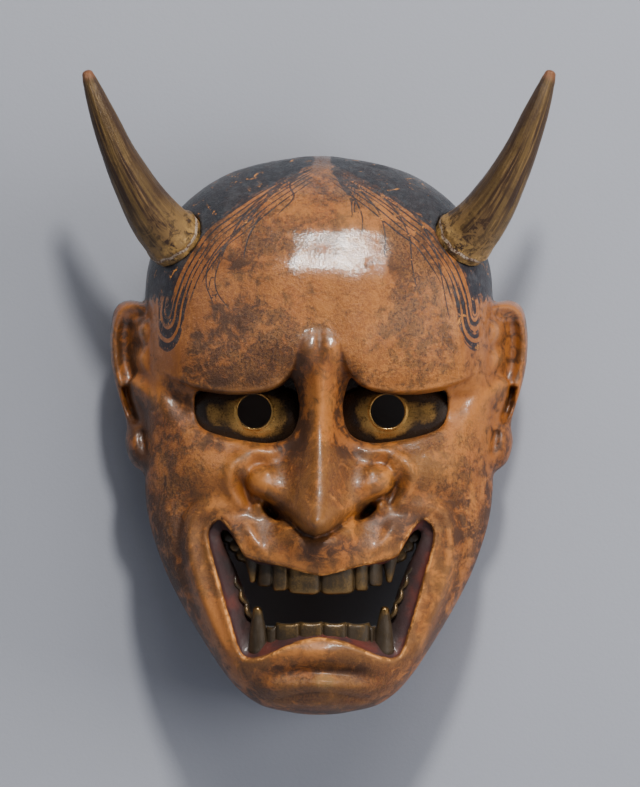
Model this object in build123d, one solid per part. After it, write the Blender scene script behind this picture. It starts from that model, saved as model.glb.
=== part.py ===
from build123d import *

import math
import os

import numpy as np

# A noh mask of the horned demoness type, carved from a block of cypress and hollowed at the back.
# The horns are tenoned into the forehead and draw out. The eyes and the teeth are gilt copper plates.
# Millimetres. +Z is up and the face looks along -Y. The origin is the centre of the back opening, on the
# plane of the rim. Left and right are the wearer's, so left is +X.

# ---- driving dimensions ----
FACE_HEIGHT = 212.0
HALF_HEIGHT = FACE_HEIGHT / 2
HALF_WIDTH = 66.0  # of the face at the temples, without the ears
WALL = 9.0  # thickness of the carved wood at the rim
MID = 0.8  # the features stand a little to the left of the outline's centre
REACH = 200.0  # length of every through cut

# ---- outline of the face: half of it, from the crown to the chin, as (half width, height) ----
HALF_OUTLINE = [
    (0.0, 106.0), (14.0, 105.0), (26.0, 102.6), (38.0, 97.4), (47.0, 91.3), (54.0, 84.5), (60.5, 75.5),
    (64.6, 65.5), (66.0, 55.0), (66.0, 35.0), (66.0, 5.0), (66.0, -20.0), (64.4, -33.0), (61.0, -44.5),
    (57.0, -54.5), (51.0, -66.0), (43.5, -78.5), (35.5, -90.5), (28.0, -98.5), (19.0, -103.6),
    (8.0, -105.8), (0.0, -106.0),
]

OUTLINE_SAMPLES = 200

# ---- forward depth of the face along its centre and at its edge, as (height, depth) ----
CENTRE_DEPTH = [
    (106, 22), (100, 36), (90, 50), (75, 61), (55, 68), (35, 69), (18, 64), (0, 60), (-20, 60),
    (-40, 63), (-60, 64), (-80, 66), (-92, 66), (-101, 62), (-106, 50),
]
EDGE_DEPTH = [(106, 20), (70, 26), (20, 30), (-30, 34), (-80, 42), (-106, 48)]
HOLLOW_DEPTH = [
    (97, 12), (88, 27), (70, 40), (50, 48), (30, 46), (10, 42), (-35, 40), (-75, 39), (-88, 34), (-97, 24),
]
HOLLOW_EDGE_DEPTH = [(97, 10), (60, 16), (0, 20), (-60, 24), (-97, 24)]
CROWN_POWER = 2.5  # how square the cross-section of the face is
NOSE_HEIGHT = [(-41, 0), (-35, 14), (-30, 21), (-12, 16), (10, 9), (30, 4), (42, 0)]
NOSE_WIDTH = [(-40, 15), (-20, 12), (5, 8), (30, 9)]
BROW_HEIGHT = 15.0  # of the brow's edge over the eyes
BROW_TURN = 17.0  # how far that edge turns up beside the nose
BROW_TURN_WIDTH = 10.0
BROW_SWEEP = 0.0035  # how fast it sweeps up towards the ear, from BROW_SWEEP_FROM out
BROW_SWEEP_FROM = 34.0
BROW_RISE = 4.5
BROW_EDGE = 1.8
BROW_AT = (26.0, 24.0)
BROW_SIZE = (24.0, 26.0)
SWELLINGS = [  # ((distance from the middle line, height), (half width, half height), rise, tilt in degrees)
    ((40, -6), (17, 9), 7, 20),  # cheek
    ((47, -55), (5, 26), 5, -14),  # fold beside the mouth
    ((0, -46), (30, 9), 10, 0),  # upper lip
    ((0, -80), (24, 4), 5, 0),  # lower lip
    ((0, -88.5), (24, 3), -3, 0),  # hollow under the lower lip
    ((0, -97), (17, 6), 6, 0),  # chin
    ((21, -22), (8, 8), 9, 0),  # wing of the nose
    ((27, 6), (21, 12), -8.5, 0),  # eye socket
]
SURFACE_TOLERANCE = 0.03
FEATURE_FADE = 5.0  # the features die away over the last fifth of the half width
ROWS = 91
COLUMNS = 77
END_GAP = 0.2  # the end rows stop this far short of the outline's tips, where the width is nothing
ROW_SPREAD = 0.35  # how much closer the rows stand at the crown and the chin

# ---- eyes, with each outline measured from the features' centre line ----
PUPIL = (25.1, 8.6)
PUPIL_RADIUS = 6.3
EYE_OPENING = [
    (11.5, 20.8), (20.0, 16.3), (27.0, 15.0), (36.0, 14.8), (44.0, 16.0), (47.4, 14.5), (47.5, 8.0),
    (44.5, 2.5), (38.0, -0.5), (29.0, -2.3), (20.0, -3.4), (13.0, -1.6), (9.0, 3.0), (7.8, 11.0),
]
EYE_LEDGE = 46.0  # depth of the plane behind the lids that the plate's flange bears on
PLATE_THICKNESS = 0.9
PLATE_MARGIN = 3.2  # the flange reaches this far past the opening
PLATE_CLEARANCE = 0.1
DOME_CENTRE = (27.0, 7.0)
DOME_SIZE = (18.0, 5.5, 9.6)  # half width, rise and half height of the domed eye
TACKS = [(6.7, 18.0), (48.9, 16.6), (46.0, -0.2), (8.2, -1.6)]  # round the edge of the plate
TACK_RADIUS = 0.6
TACK_LENGTH = 5.0
TACK_HEAD_RADIUS = 1.2
TACK_HEAD = 0.5

# ---- mouth: half of each outline, from the lower lip round to the upper ----
MOUTH_OUTER = [
    (0.0, -76.6), (8.0, -77.9), (14.5, -80.5), (22.5, -83.8), (27.6, -84.3), (31.0, -81.2), (34.4, -70.5),
    (39.0, -54.2), (42.1, -42.7), (42.8, -37.0), (40.8, -33.2), (38.0, -31.8), (34.5, -35.0),
    (31.3, -40.4), (28.5, -45.2), (21.5, -47.6), (13.5, -49.2), (0.0, -52.7),
]
MOUTH_THROUGH = [
    (0.0, -72.5), (18.0, -72.8), (24.5, -71.0), (28.0, -64.0), (31.5, -54.0), (36.5, -43.0),
    (38.2, -38.0), (36.8, -35.6), (34.0, -38.5), (30.5, -44.0), (27.0, -50.0), (15.0, -53.6), (0.0, -56.0),
]
GUM_DEPTH = 55.0  # depth of the gums, at the floor of the mouth's recess
ARCH_POWER = 2.4
ARCH_POINTS = 19
UPPER_ARCH = (31.0, 68.5, 40.0)  # half width, depth at its front and depth at its ends
LOWER_ARCH = (29.5, 65.0, 44.0)
TOOTH_THICKNESS = 2.6
UPPER_TEETH = [(0.0, -59.9), (9.0, -59.8), (15.0, -58.6), (21.5, -56.2)]  # their lower edge
UPPER_ROOT = -43.0
LOWER_TEETH = [(0.0, -70.0), (9.0, -70.4), (15.0, -71.0), (20.5, -71.6)]  # their upper edge
LOWER_ROOT = -80.0
UPPER_FANG = ((25.7, -42.5), 3.4, (25.7, -56.4), 1.3)  # root, its radius, tip, its radius
LOWER_FANG = ((23.6, -81.5), 4.2, (23.9, -64.8), 1.9)
FANG_DEPTH = (60.0, 58.5)  # of the upper and the lower fangs' centres
UPPER_BACK_TEETH = [(-56.0, -49.0), (-51.0, -47.0), (-46.0, -44.0)]  # (y, lower edge), front to back
LOWER_BACK_TEETH = [(-56.5, -64.5), (-53.0, -61.0), (-48.0, -57.0)]  # (y, upper edge), front to back
BACK_ROOTS = (-30.0, -76.0)

# ---- ears, carved in one with the face: front outline and plan, from the centre of the face ----
EAR_FRONT = [
    (62.0, 49.5), (69.0, 51.0), (76.0, 49.5), (79.4, 44.0), (79.8, 32.0), (78.6, 19.0), (75.5, 9.0),
    (73.4, 0.0), (72.6, -8.0), (68.0, -14.0), (62.0, -14.5),
]
EAR_PLAN = [(60.0, -40.0), (66.0, -38.0), (76.0, -27.0), (80.5, -19.0), (78.0, -14.5), (60.0, -14.5)]

# ---- horns ----
HORN_SEAT = (52.9, -42.7, 72.1)  # centre of the left horn's seat on the forehead
HORN_AXIS = (0.60, -0.52, 0.61)  # the way it leaves the forehead
HORN_SEAT_RADIUS = 11.3
HORN_SECTIONS = [  # centre of each section along the left horn, and its radius
    ((60.4, -48.4, 79.8), 10.2),
    ((67.3, -52.6, 90.0), 8.6),
    ((75.0, -56.0, 104.7), 6.3),
    ((81.3, -57.6, 120.0), 4.6),
    ((86.0, -57.8, 132.0), 2.7),
    ((87.3, -57.8, 136.2), 1.6),
]
TENON_RADIUS = 6.0
TENON_LENGTH = 10.0
TENON_CLEARANCE = 0.08
SEAT_GAP = 0.1
SEAT_MARGIN = 0.5

# ---- cord holes, behind the ears ----
CORD_HOLE_RADIUS = 2.5
CORD_HOLE_DEPTH = 8.5
CORD_HOLE_HEIGHT = 22.0


def smooth(knots, x):
    """A smooth curve through (position, value) knots, without overshoot."""
    at, value = (np.array(c, float) for c in zip(*sorted(knots)))
    span = np.diff(at)
    slope = np.diff(value) / span
    product, total = slope[1:] * slope[:-1], slope[1:] + slope[:-1]
    inner = np.where(product > 0, 2 * product / np.where(product > 0, total, 1), 0)
    tangent = np.concatenate([[slope[0]], inner, [slope[-1]]])
    x = np.clip(np.asarray(x, float), at[0], at[-1])
    i = np.clip(np.searchsorted(at, x) - 1, 0, len(span) - 1)
    t = (x - at[i]) / span[i]
    rise = (3 - 2 * t) * t * t
    bend = t * (1 - t) * ((1 - t) * (tangent[i] - slope[i]) - t * (tangent[i + 1] - slope[i]))
    return value[i] * (1 - rise) + value[i + 1] * rise + span[i] * (bend + slope[i] * (t - rise))


def swell(x, z, centre, size, height, tilt):
    """A rounded swelling, of a bell's shape, tilted by degrees."""
    c, s = math.cos(math.radians(tilt)), math.sin(math.radians(tilt))
    across, up = x - centre[0], z - centre[1]
    a, b = (across * c + up * s) / size[0], (up * c - across * s) / size[1]
    return height * np.exp(-(a * a + b * b))


def step(distance, width):
    """0 well below an edge and 1 well above it."""
    return 1 / (1 + np.exp(-distance / width))


def dome(share):
    """The cross-section of the face, from 1 at its centre to 0 at its edge."""
    return np.sqrt(np.clip(1 - np.abs(share) ** CROWN_POWER, 0, 1))


def brow(side, z):
    """The forehead's lower edge, which overhangs the eyes and turns up beside the root of the nose."""
    line = BROW_HEIGHT + BROW_TURN * np.exp(-((side / BROW_TURN_WIDTH) ** 2))
    line += BROW_SWEEP * np.clip(side - BROW_SWEEP_FROM, 0, None) ** 2
    (across, up), (half_width, half_height) = BROW_AT, BROW_SIZE
    reach = np.exp(-(((side - across) / half_width) ** 2) - ((z - up) / half_height) ** 2)
    return BROW_RISE * step(z - line, BROW_EDGE) * reach


def face_depth(x, z, share):
    """How far the carved face stands forward of the rim. share is the distance out, over the half width."""
    edge = smooth(EDGE_DEPTH, z)
    side = np.abs(x - MID)
    features = brow(side, z) + smooth(NOSE_HEIGHT, z) * np.exp(-((side / smooth(NOSE_WIDTH, z)) ** 2))
    for swelling in SWELLINGS:
        features += swell(side, z, *swelling)
    plain = edge + (smooth(CENTRE_DEPTH, z) - edge) * dome(share)
    return plain + features * np.clip((1 - np.abs(share)) * FEATURE_FADE, 0, 1)


def hollow_depth(x, z, share):
    """How far the hollow at the back reaches forward of the rim."""
    edge = smooth(HOLLOW_EDGE_DEPTH, z)
    return edge + (smooth(HOLLOW_DEPTH, z) - edge) * dome(share)


def outline_half_width(z):
    """Half width of the face's outline at a height."""
    edge = Spline(*HALF_OUTLINE, tangents=[(1, 0), (-1, 0)])
    points = [edge @ (i / OUTLINE_SAMPLES) for i in range(OUTLINE_SAMPLES, -1, -1)]
    return np.interp(z, [p.Y for p in points], [p.X for p in points])


def carved_block(depth_at, half_width, half_height):
    """The space between the plane of the rim and a carved surface in front of it."""
    along = np.linspace(-1, 1, ROWS)
    heights = (half_height - END_GAP) * along * (1 + ROW_SPREAD - ROW_SPREAD * along**2)
    widths = outline_half_width(heights * HALF_HEIGHT / half_height) * half_width / HALF_WIDTH
    share = np.sin(np.linspace(-1, 1, COLUMNS) * math.pi / 2)
    rows = []
    for width, z in zip(widths, heights):
        depth = depth_at(width * share, np.full_like(share, z), share)
        rows.append([Vector(x, -d, z) for x, d in zip(width * share, depth)])
    front = Face.make_surface_from_array_of_points(rows, tol=SURFACE_TOLERANCE)
    behind = Pos(0, REACH / 2, 0) * Box(2 * REACH, REACH, 2 * REACH)
    return extrude(front, amount=REACH, dir=(0, 1, 0)) - behind


def prism(outline, front, back, grow=0.0):
    """A closed outline of (x, z) points, run along Y from one depth forward of the rim to another."""
    points = []
    for i, (x, z) in enumerate(outline):
        before, after = outline[i - 1], outline[(i + 1) % len(outline)]
        along = Vector(after[0] - before[0], after[1] - before[1]).normalized()
        points.append((x - along.Y * grow, z + along.X * grow))
    flat = Plane.XZ * make_face(Spline(*points, periodic=True))
    return Pos(0, -back, 0) * extrude(flat, amount=front - back, dir=(0, -1, 0))


def centred(half):
    """A whole outline from half of one, about the features' centre line."""
    right = [(MID + x, z) for x, z in half]
    return right + [(MID - x, z) for x, z in reversed(half) if x > 0]


def aside(outline):
    """An outline measured from the features' centre line, moved to the left of the face."""
    return [(MID + x, z) for x, z in outline]


def other_side(shape, centre=MID):
    """The same shape on the right of the face."""
    return mirror(shape, about=Plane(origin=(centre, 0, 0), z_dir=(1, 0, 0)))


def eye_plate():
    """The left eye: a domed sheet of gilt copper with a round pupil and a flange behind the lids."""
    outline = aside(EYE_OPENING)
    back = EYE_LEDGE - PLATE_THICKNESS
    flange = prism(outline, EYE_LEDGE, back, PLATE_MARGIN)
    half_width, rise, half_height = DOME_SIZE
    at = Pos(MID + DOME_CENTRE[0], -back, DOME_CENTRE[1])
    outer = at * scale(Sphere(1), by=(half_width, rise + PLATE_THICKNESS, half_height))
    thin = PLATE_THICKNESS
    inner = at * scale(Sphere(1), by=(half_width - thin, rise, half_height - thin))
    behind = Pos(0, REACH / 2 - back, 0) * Box(2 * REACH, REACH, 2 * REACH)
    plate = flange + (outer - behind) - inner
    plate -= along_depth(MID + PUPIL[0], PUPIL[1], PUPIL_RADIUS, REACH, 0)
    for x, z in TACKS:
        plate -= along_depth(MID + x, z, TACK_RADIUS, EYE_LEDGE + 1, back - 1)
    return plate


def along_depth(x, z, radius, front, back):
    """A cylinder along Y, from one depth forward of the rim to another."""
    return Pos(x, -(front + back) / 2, z) * Rot(90, 0, 0) * Cylinder(radius, front - back)


def eye_tacks():
    """The tacks that hold the left eye plate, driven in from the hollow side."""
    back = EYE_LEDGE - PLATE_THICKNESS
    tacks = Part()
    for x, z in TACKS:
        shank = along_depth(MID + x, z, TACK_RADIUS, back + TACK_LENGTH, back)
        tacks += shank + along_depth(MID + x, z, TACK_HEAD_RADIUS, back, back - TACK_HEAD)
    return tacks


def arch_band(arch):
    """A dental arch in plan, as thick as a tooth plate, standing over the full height of the face."""
    half_width, front, ends = arch

    def line(inset):
        turns = np.linspace(0, math.pi, ARCH_POINTS)
        power = 2 / ARCH_POWER
        return [
            (MID + (half_width - inset) * math.copysign(abs(math.cos(t)) ** power, math.cos(t)),
             -ends - (front - inset - ends) * math.sin(t) ** power)
            for t in turns
        ]

    outer, inner = line(0), line(TOOTH_THICKNESS)
    edge = Curve() + [Spline(*outer), Line(outer[-1], inner[-1]), Spline(*inner[::-1]), Line(inner[0], outer[0])]
    return extrude(make_face(edge), amount=REACH, both=True)


def front_teeth(arch, root, edge):
    """A row of front teeth pressed in one sheet, from its root to its biting edge."""
    half = [*edge, (edge[-1][0], root)]
    outline = [(MID + x, z) for x, z in half] + [(MID - x, z) for x, z in reversed(half)][:-1]
    flat = Plane.XZ * make_face(Polyline(*outline, close=True))
    return arch_band(arch) & extrude(flat, amount=REACH, both=True)


def back_teeth(arch, root, edge):
    """The left row of back teeth, cut from its arch by a side outline."""
    outline = [*edge, (edge[-1][0], root), (edge[0][0], root)]
    flat = Plane.YZ * make_face(Polyline(*outline, close=True))
    side = Pos(MID, 0, 0) * extrude(flat, amount=REACH)
    return arch_band(arch) & side


def fang(shape, depth):
    """A tapering fang with a rounded tip, on the left side."""
    (root_x, root_z), root_radius, (tip_x, tip_z), tip_radius = shape
    root = Vector(MID + root_x, -depth, root_z)
    tip = Vector(MID + tip_x, -depth, tip_z)
    plane = Plane(origin=root, z_dir=tip - root)
    body = loft([plane * Circle(root_radius), Plane(origin=tip, z_dir=tip - root) * Circle(tip_radius)])
    return body + Pos(*tip) * Sphere(tip_radius)


def teeth():
    """Every tooth plate by name."""
    upper_depth, lower_depth = FANG_DEPTH
    upper_fang, lower_fang = fang(UPPER_FANG, upper_depth), fang(LOWER_FANG, lower_depth)
    upper_back = back_teeth(UPPER_ARCH, BACK_ROOTS[0], UPPER_BACK_TEETH)
    lower_back = back_teeth(LOWER_ARCH, BACK_ROOTS[1], LOWER_BACK_TEETH) - lower_fang
    lower_front = front_teeth(LOWER_ARCH, LOWER_ROOT, LOWER_TEETH) - lower_fang - other_side(lower_fang)
    return {
        "upper_front_teeth": front_teeth(UPPER_ARCH, UPPER_ROOT, UPPER_TEETH),
        "lower_front_teeth": max(lower_front.solids(), key=lambda solid: solid.volume),
        "left_upper_fang": upper_fang,
        "right_upper_fang": other_side(upper_fang),
        "left_lower_fang": lower_fang,
        "right_lower_fang": other_side(lower_fang),
        "left_upper_back_teeth": upper_back,
        "right_upper_back_teeth": other_side(upper_back),
        "left_lower_back_teeth": lower_back,
        "right_lower_back_teeth": other_side(lower_back),
    }


def horn():
    """The left horn, with the round tenon that holds it in the forehead."""
    axis = Vector(*HORN_AXIS).normalized()
    seat = Vector(*HORN_SEAT)
    base = seat + axis * SEAT_GAP
    centres = [base] + [Vector(*centre) for centre, _ in HORN_SECTIONS]
    radii = [HORN_SEAT_RADIUS] + [radius for _, radius in HORN_SECTIONS]
    sections = [Plane(origin=base, z_dir=axis) * Circle(radii[0])]
    for i in range(1, len(centres)):
        ahead = centres[min(i + 1, len(centres) - 1)]
        sections.append(Plane(origin=centres[i], z_dir=ahead - centres[i - 1]) * Circle(radii[i]))
    tenon = Plane(origin=base, z_dir=-axis) * Cylinder(
        TENON_RADIUS, TENON_LENGTH, align=(Align.CENTER, Align.CENTER, Align.MIN)
    )
    return loft(sections) + tenon


def horn_socket():
    """The boss under the left horn, and what is cut from the forehead for its seat and mortise."""
    axis = Vector(*HORN_AXIS).normalized()
    seat = Plane(origin=HORN_SEAT, z_dir=axis)
    stand_on = (Align.CENTER, Align.CENTER, Align.MIN)
    boss = seat * Pos(0, 0, -TENON_LENGTH) * Cylinder(HORN_SEAT_RADIUS, TENON_LENGTH, align=stand_on)
    above = seat * Cylinder(HORN_SEAT_RADIUS + SEAT_MARGIN, 3 * TENON_LENGTH, align=stand_on)
    mortise = seat * Cylinder(TENON_RADIUS + TENON_CLEARANCE, 4 * TENON_LENGTH)
    return boss, above + mortise


def ear():
    """The left ear, as a plain block of the ear's front outline and plan."""
    front = prism(EAR_FRONT, REACH, 0)
    plan = extrude(make_face(Polyline(*EAR_PLAN, close=True)), amount=REACH, both=True)
    return front & plan


def face_shell(cut_pieces):
    """The carved and hollowed block, cut to take every piece that is let into it."""
    share = 1 - WALL / HALF_WIDTH
    block = carved_block(face_depth, HALF_WIDTH, HALF_HEIGHT)
    hollow = carved_block(hollow_depth, HALF_WIDTH * share, HALF_HEIGHT - WALL)
    boss, socket = horn_socket()
    left_ear = ear()
    shell = block + left_ear + other_side(left_ear, 0) + boss + other_side(boss, 0) - hollow
    shell -= socket + other_side(socket, 0)
    opening = prism(aside(EYE_OPENING), REACH, 0)
    pocket = prism(aside(EYE_OPENING), EYE_LEDGE, -1, PLATE_MARGIN + PLATE_CLEARANCE)
    shell -= opening + other_side(opening) + pocket + other_side(pocket)
    shell -= prism(centred(MOUTH_OUTER), REACH, GUM_DEPTH)
    shell -= prism(centred(MOUTH_THROUGH), REACH, 0)
    shell -= Pos(0, -CORD_HOLE_DEPTH, CORD_HOLE_HEIGHT) * Rot(0, 90, 0) * Cylinder(CORD_HOLE_RADIUS, REACH)
    for piece in cut_pieces:
        shell -= piece
    return max(shell.solids(), key=lambda solid: solid.volume)


def main():
    pieces = teeth()
    plate, tacks, left_horn = eye_plate(), eye_tacks(), horn()
    pieces["left_eye_plate"] = plate
    pieces["right_eye_plate"] = other_side(plate)
    pieces["left_eye_tacks"] = tacks
    pieces["right_eye_tacks"] = other_side(tacks)
    pieces["face_shell"] = face_shell(list(pieces.values()))
    pieces["left_horn"] = left_horn
    pieces["right_horn"] = other_side(left_horn, 0)
    os.makedirs("parts", exist_ok=True)
    for name, shape in pieces.items():
        export_step(shape, f"parts/{name}.step")


main()
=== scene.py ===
import math

import bpy
import numpy as np
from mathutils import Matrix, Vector


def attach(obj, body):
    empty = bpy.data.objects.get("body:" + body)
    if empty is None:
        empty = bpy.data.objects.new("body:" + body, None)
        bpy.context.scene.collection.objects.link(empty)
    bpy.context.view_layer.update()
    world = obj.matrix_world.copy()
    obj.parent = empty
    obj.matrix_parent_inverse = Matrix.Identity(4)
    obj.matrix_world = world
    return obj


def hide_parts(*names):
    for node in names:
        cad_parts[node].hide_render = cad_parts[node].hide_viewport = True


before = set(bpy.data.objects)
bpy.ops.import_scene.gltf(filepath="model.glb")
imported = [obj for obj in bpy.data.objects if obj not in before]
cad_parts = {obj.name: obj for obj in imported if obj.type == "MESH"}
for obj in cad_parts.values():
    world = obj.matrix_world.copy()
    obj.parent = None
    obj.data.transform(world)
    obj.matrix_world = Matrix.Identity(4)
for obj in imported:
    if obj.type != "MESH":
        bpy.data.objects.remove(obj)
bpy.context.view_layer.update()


# ---------------------------------------------------------------- the carving, in millimetres
# Depths are measured forward of the plane of the rim. side is the distance from the face's middle line.

HALF_WIDTH = 66.0
HALF_HEIGHT = 106.0
MID = 0.8
OUTLINE = [
    (0, 106), (14, 105), (26, 102.6), (38, 97.4), (47, 91.3), (54, 84.5), (60.5, 75.5), (64.6, 65.5),
    (66, 55),
    (66, 35), (66, 5), (66, -20), (64.4, -33), (61, -44.5), (57, -54.5), (51, -66), (43.5, -78.5),
    (35.5, -90.5), (28, -98.5), (19, -103.6), (8, -105.8), (0, -106),
]
CENTRE_DEPTH = [
    (106, 22), (100, 36), (90, 50), (75, 61), (55, 68), (35, 69), (18, 64), (0, 60), (-20, 60),
    (-40, 64), (-60, 66), (-80, 67), (-92, 67), (-101, 62), (-106, 50),
]
EDGE_DEPTH = [(106, 20), (70, 26), (20, 30), (-30, 34), (-80, 42), (-106, 48)]
HOLLOW_DEPTH = [
    (97, 12), (88, 27), (70, 40), (50, 48), (30, 46), (10, 42), (-35, 40), (-75, 39), (-88, 34),
    (-97, 24),
]
HOLLOW_EDGE_DEPTH = [(97, 10), (60, 16), (0, 20), (-60, 24), (-97, 24)]
CROWN_POWER = 2.5

EYE_OPENING = [
    (11.0, 21.0), (14.5, 18.3), (20.0, 16.1), (27.0, 15.0), (36.0, 14.9), (44.0, 16.0), (47.2, 15.8),
    (47.6, 8.0), (45.0, 2.5), (38.0, -0.5), (29.0, -2.4), (20.0, -3.4), (13.0, -1.6), (9.4, 3.0),
    (8.2, 11.0),
]
MOUTH_OUTER = [
    (0.0, -76.6), (8.0, -77.9), (14.5, -80.5), (22.5, -83.8), (27.6, -84.3), (31.0, -81.2), (34.4, -70.5),
    (39.0, -54.2), (42.1, -42.7), (42.8, -37.0), (40.8, -33.2), (38.0, -31.8), (34.5, -35.0),
    (31.3, -40.4), (28.5, -45.2), (21.5, -47.6), (13.5, -49.2), (0.0, -52.7),
]
MOUTH_THROUGH = [
    (0.0, -72.5), (18.0, -72.8), (24.5, -71.0), (27.5, -64.0), (31.0, -54.0), (36.0, -43.0),
    (37.6, -38.0), (36.3, -35.8), (33.6, -38.0), (30.5, -43.0), (27.0, -47.5), (15.0, -50.6),
    (0.0, -54.0),
]


def smooth(knots, x):
    """A smooth curve through (position, value) knots, without overshoot."""
    at, value = (np.array(c, float) for c in zip(*sorted(knots)))
    span = np.diff(at)
    slope = np.diff(value) / span
    product, total = slope[1:] * slope[:-1], slope[1:] + slope[:-1]
    inner = np.where(product > 0, 2 * product / np.where(product > 0, total, 1), 0)
    tangent = np.concatenate([[slope[0]], inner, [slope[-1]]])
    x = np.clip(np.asarray(x, float), at[0], at[-1])
    i = np.clip(np.searchsorted(at, x) - 1, 0, len(span) - 1)
    t = (x - at[i]) / span[i]
    rise = (3 - 2 * t) * t * t
    bend = t * (1 - t) * ((1 - t) * (tangent[i] - slope[i]) - t * (tangent[i + 1] - slope[i]))
    return value[i] * (1 - rise) + value[i + 1] * rise + span[i] * (bend + slope[i] * (t - rise))


def ramp(low, high, value):
    t = np.clip((value - low) / (high - low), 0, 1)
    return t * t * (3 - 2 * t)


def swell(x, z, centre, size, height, tilt=0.0):
    """A rounded swelling, of a bell's shape, tilted by degrees."""
    c, s = math.cos(math.radians(tilt)), math.sin(math.radians(tilt))
    across, up = x - centre[0], z - centre[1]
    a, b = (across * c + up * s) / size[0], (up * c - across * s) / size[1]
    return height * np.exp(-(a * a + b * b))


def spline(points, steps=8, closed=False):
    """Points along a smooth curve through the given ones."""
    p = np.array(points, float)
    if closed:
        p = np.vstack([p[-1], p, p[0], p[1]])
    else:
        p = np.vstack([2 * p[0] - p[1], p, 2 * p[-1] - p[-2]])
    t = np.arange(steps)[:, None] / steps
    out = []
    for a, b, c, d in zip(p, p[1:], p[2:], p[3:]):
        out.append(b + 0.5 * t * (c - a + t * (2 * a - 5 * b + 4 * c - d + t * (3 * (b - c) + d - a))))
    line = np.vstack(out)
    return line if closed else np.vstack([line, p[-2]])


def measure(line, x, z, reach):
    """Distance to a line, place along it from 0 to 1, and which side: above 0 on its left."""
    far = np.full(x.shape, reach, float)
    place = np.zeros(x.shape)
    side = np.full(x.shape, -reach, float)
    low, high = line.min(0) - reach, line.max(0) + reach
    near = (x > low[0]) & (x < high[0]) & (z > low[1]) & (z < high[1])
    px, pz = x[near], z[near]
    best = np.full(px.shape, reach * reach, float)
    at, turn = np.zeros(px.shape), np.full(px.shape, -reach, float)
    lengths = np.hypot(*np.diff(line, axis=0).T)
    walked = np.concatenate([[0], np.cumsum(lengths)]) / lengths.sum()
    for i, (a, b) in enumerate(zip(line, line[1:])):
        d = b - a
        t = np.clip(((px - a[0]) * d[0] + (pz - a[1]) * d[1]) / (d @ d), 0, 1)
        ex, ez = px - a[0] - t * d[0], pz - a[1] - t * d[1]
        gap = ex * ex + ez * ez
        better = gap < best
        best = np.where(better, gap, best)
        at = np.where(better, walked[i] + t * (walked[i + 1] - walked[i]), at)
        turn = np.where(better, d[0] * ez - d[1] * ex, turn)
    far[near] = np.sqrt(best)
    place[near] = at
    side[near] = np.sqrt(best) * np.sign(turn)
    return far, place, side


def inside(line, x, z, reach=14.0):
    """Distance to a closed outline, above 0 inside it."""
    ring = np.vstack([line, line[:1]])
    distance, _, _ = measure(ring, x, z, reach)
    crossings = np.zeros(x.shape, bool)
    for (ax, az), (bx, bz) in zip(ring, ring[1:]):
        if az == bz:
            continue
        spans = (az > z) != (bz > z)
        crossings ^= spans & (x < ax + (z - az) * (bx - ax) / (bz - az))
    return np.where(crossings, distance, -distance)


def whole(half):
    """A closed outline from half of one."""
    return half + [(-x, z) for x, z in reversed(half) if x > 0]


def ridge(x, z, points, width, height, sharp=2.0, fade=(0.12, 0.12)):
    """A ridge along a line, or a groove where height is below 0. Both may change along it."""
    line = spline(points)
    reach = 4.5 * max(np.atleast_1d(width).max(), 0.5)
    d, t, _ = measure(line, x, z, reach)
    w = np.interp(t, np.linspace(0, 1, np.size(width)), np.atleast_1d(width))
    h = np.interp(t, np.linspace(0, 1, np.size(height)), np.atleast_1d(height))
    ends = ramp(0, max(fade[0], 1e-6), t) * ramp(0, max(fade[1], 1e-6), 1 - t)
    return np.where(d < reach * 0.999, h * ends * np.exp(-((d / w) ** sharp)), 0)


def cliff(x, z, points, rise, edge, reach, decay):
    """A step along a line, high on its left, that dies away above. rise is given by x."""
    _, _, s = measure(spline(points), x, z, reach)
    height = smooth(rise, x)
    away = np.clip(s, 0, None)
    return height * ramp(-edge, edge, s) * np.exp(-((away / decay) ** 1.6))


def dome(share):
    return np.sqrt(np.clip(1 - np.abs(share) ** CROWN_POWER, 0, 1))


def half_width_at(z):
    line = spline(OUTLINE, 10)
    order = np.argsort(line[:, 1])
    return np.interp(z, line[order, 1], line[order, 0])


BROW = [
    (1.0, 37.0), (4.2, 36.6), (7.2, 34.4), (8.6, 30.6), (9.4, 26.0), (11.2, 22.0), (14.0, 18.9),
    (18.0, 16.7),
    (23, 15.5), (30, 14.9), (37, 15.4), (44, 16.8), (50, 18.6), (55, 20.6), (60.5, 23.6),
]
BROW_RISE = [
    (0, 0), (5, 0.5), (8, 1.8), (12, 3.6), (18, 5.4), (28, 6.2), (38, 5.6), (48, 3.6), (56, 1.6),
    (61, 0.2), (63, 0),
]
NOSE_EDGE = [
    (36, 22), (34.5, 6), (32.5, -6), (30.5, -14), (28, -19.5), (25.5, -22.5), (20.5, -25.2), (15, -29.2),
    (10, -33.2), (5, -36.9), (0, -38.6),
]
NOSE_HEIGHT = [
    (60, 0), (44, 0.4), (34, 2.6), (26, 4.5), (18, 6.5), (8, 9.5), (-2, 13), (-12, 16.5), (-22, 19.5),
    (-40, 21.5),
]
NOSE_WIDTH = [
    (40, 7.0), (26, 6.2), (14, 6.8), (4, 8.5), (-6, 10.5), (-16, 13.0), (-26, 15.5), (-40, 16.5),
]
ALA = [
    (17.5, -15.0), (18.8, -12.2), (22.3, -10.9), (26.0, -12.8), (28.0, -18.0), (27.2, -23.2),
    (24.6, -26.8), (21.0, -29.4),
]
RING = [
    (12.0, -5.5), (17.9, -7.8), (24.0, -6.9), (31.0, -9.4), (34.2, -16), (33.0, -21.8), (30.0, -26.0),
    (28.8, -30.0),
]
FRAME = [
    (27.5, -27.5), (34, -27.0), (42, -27.6), (47.3, -31.0), (49.3, -38), (48.6, -46), (46.2, -56),
    (43.0, -66), (38.8, -77), (33.5, -87.5),
]
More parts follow.
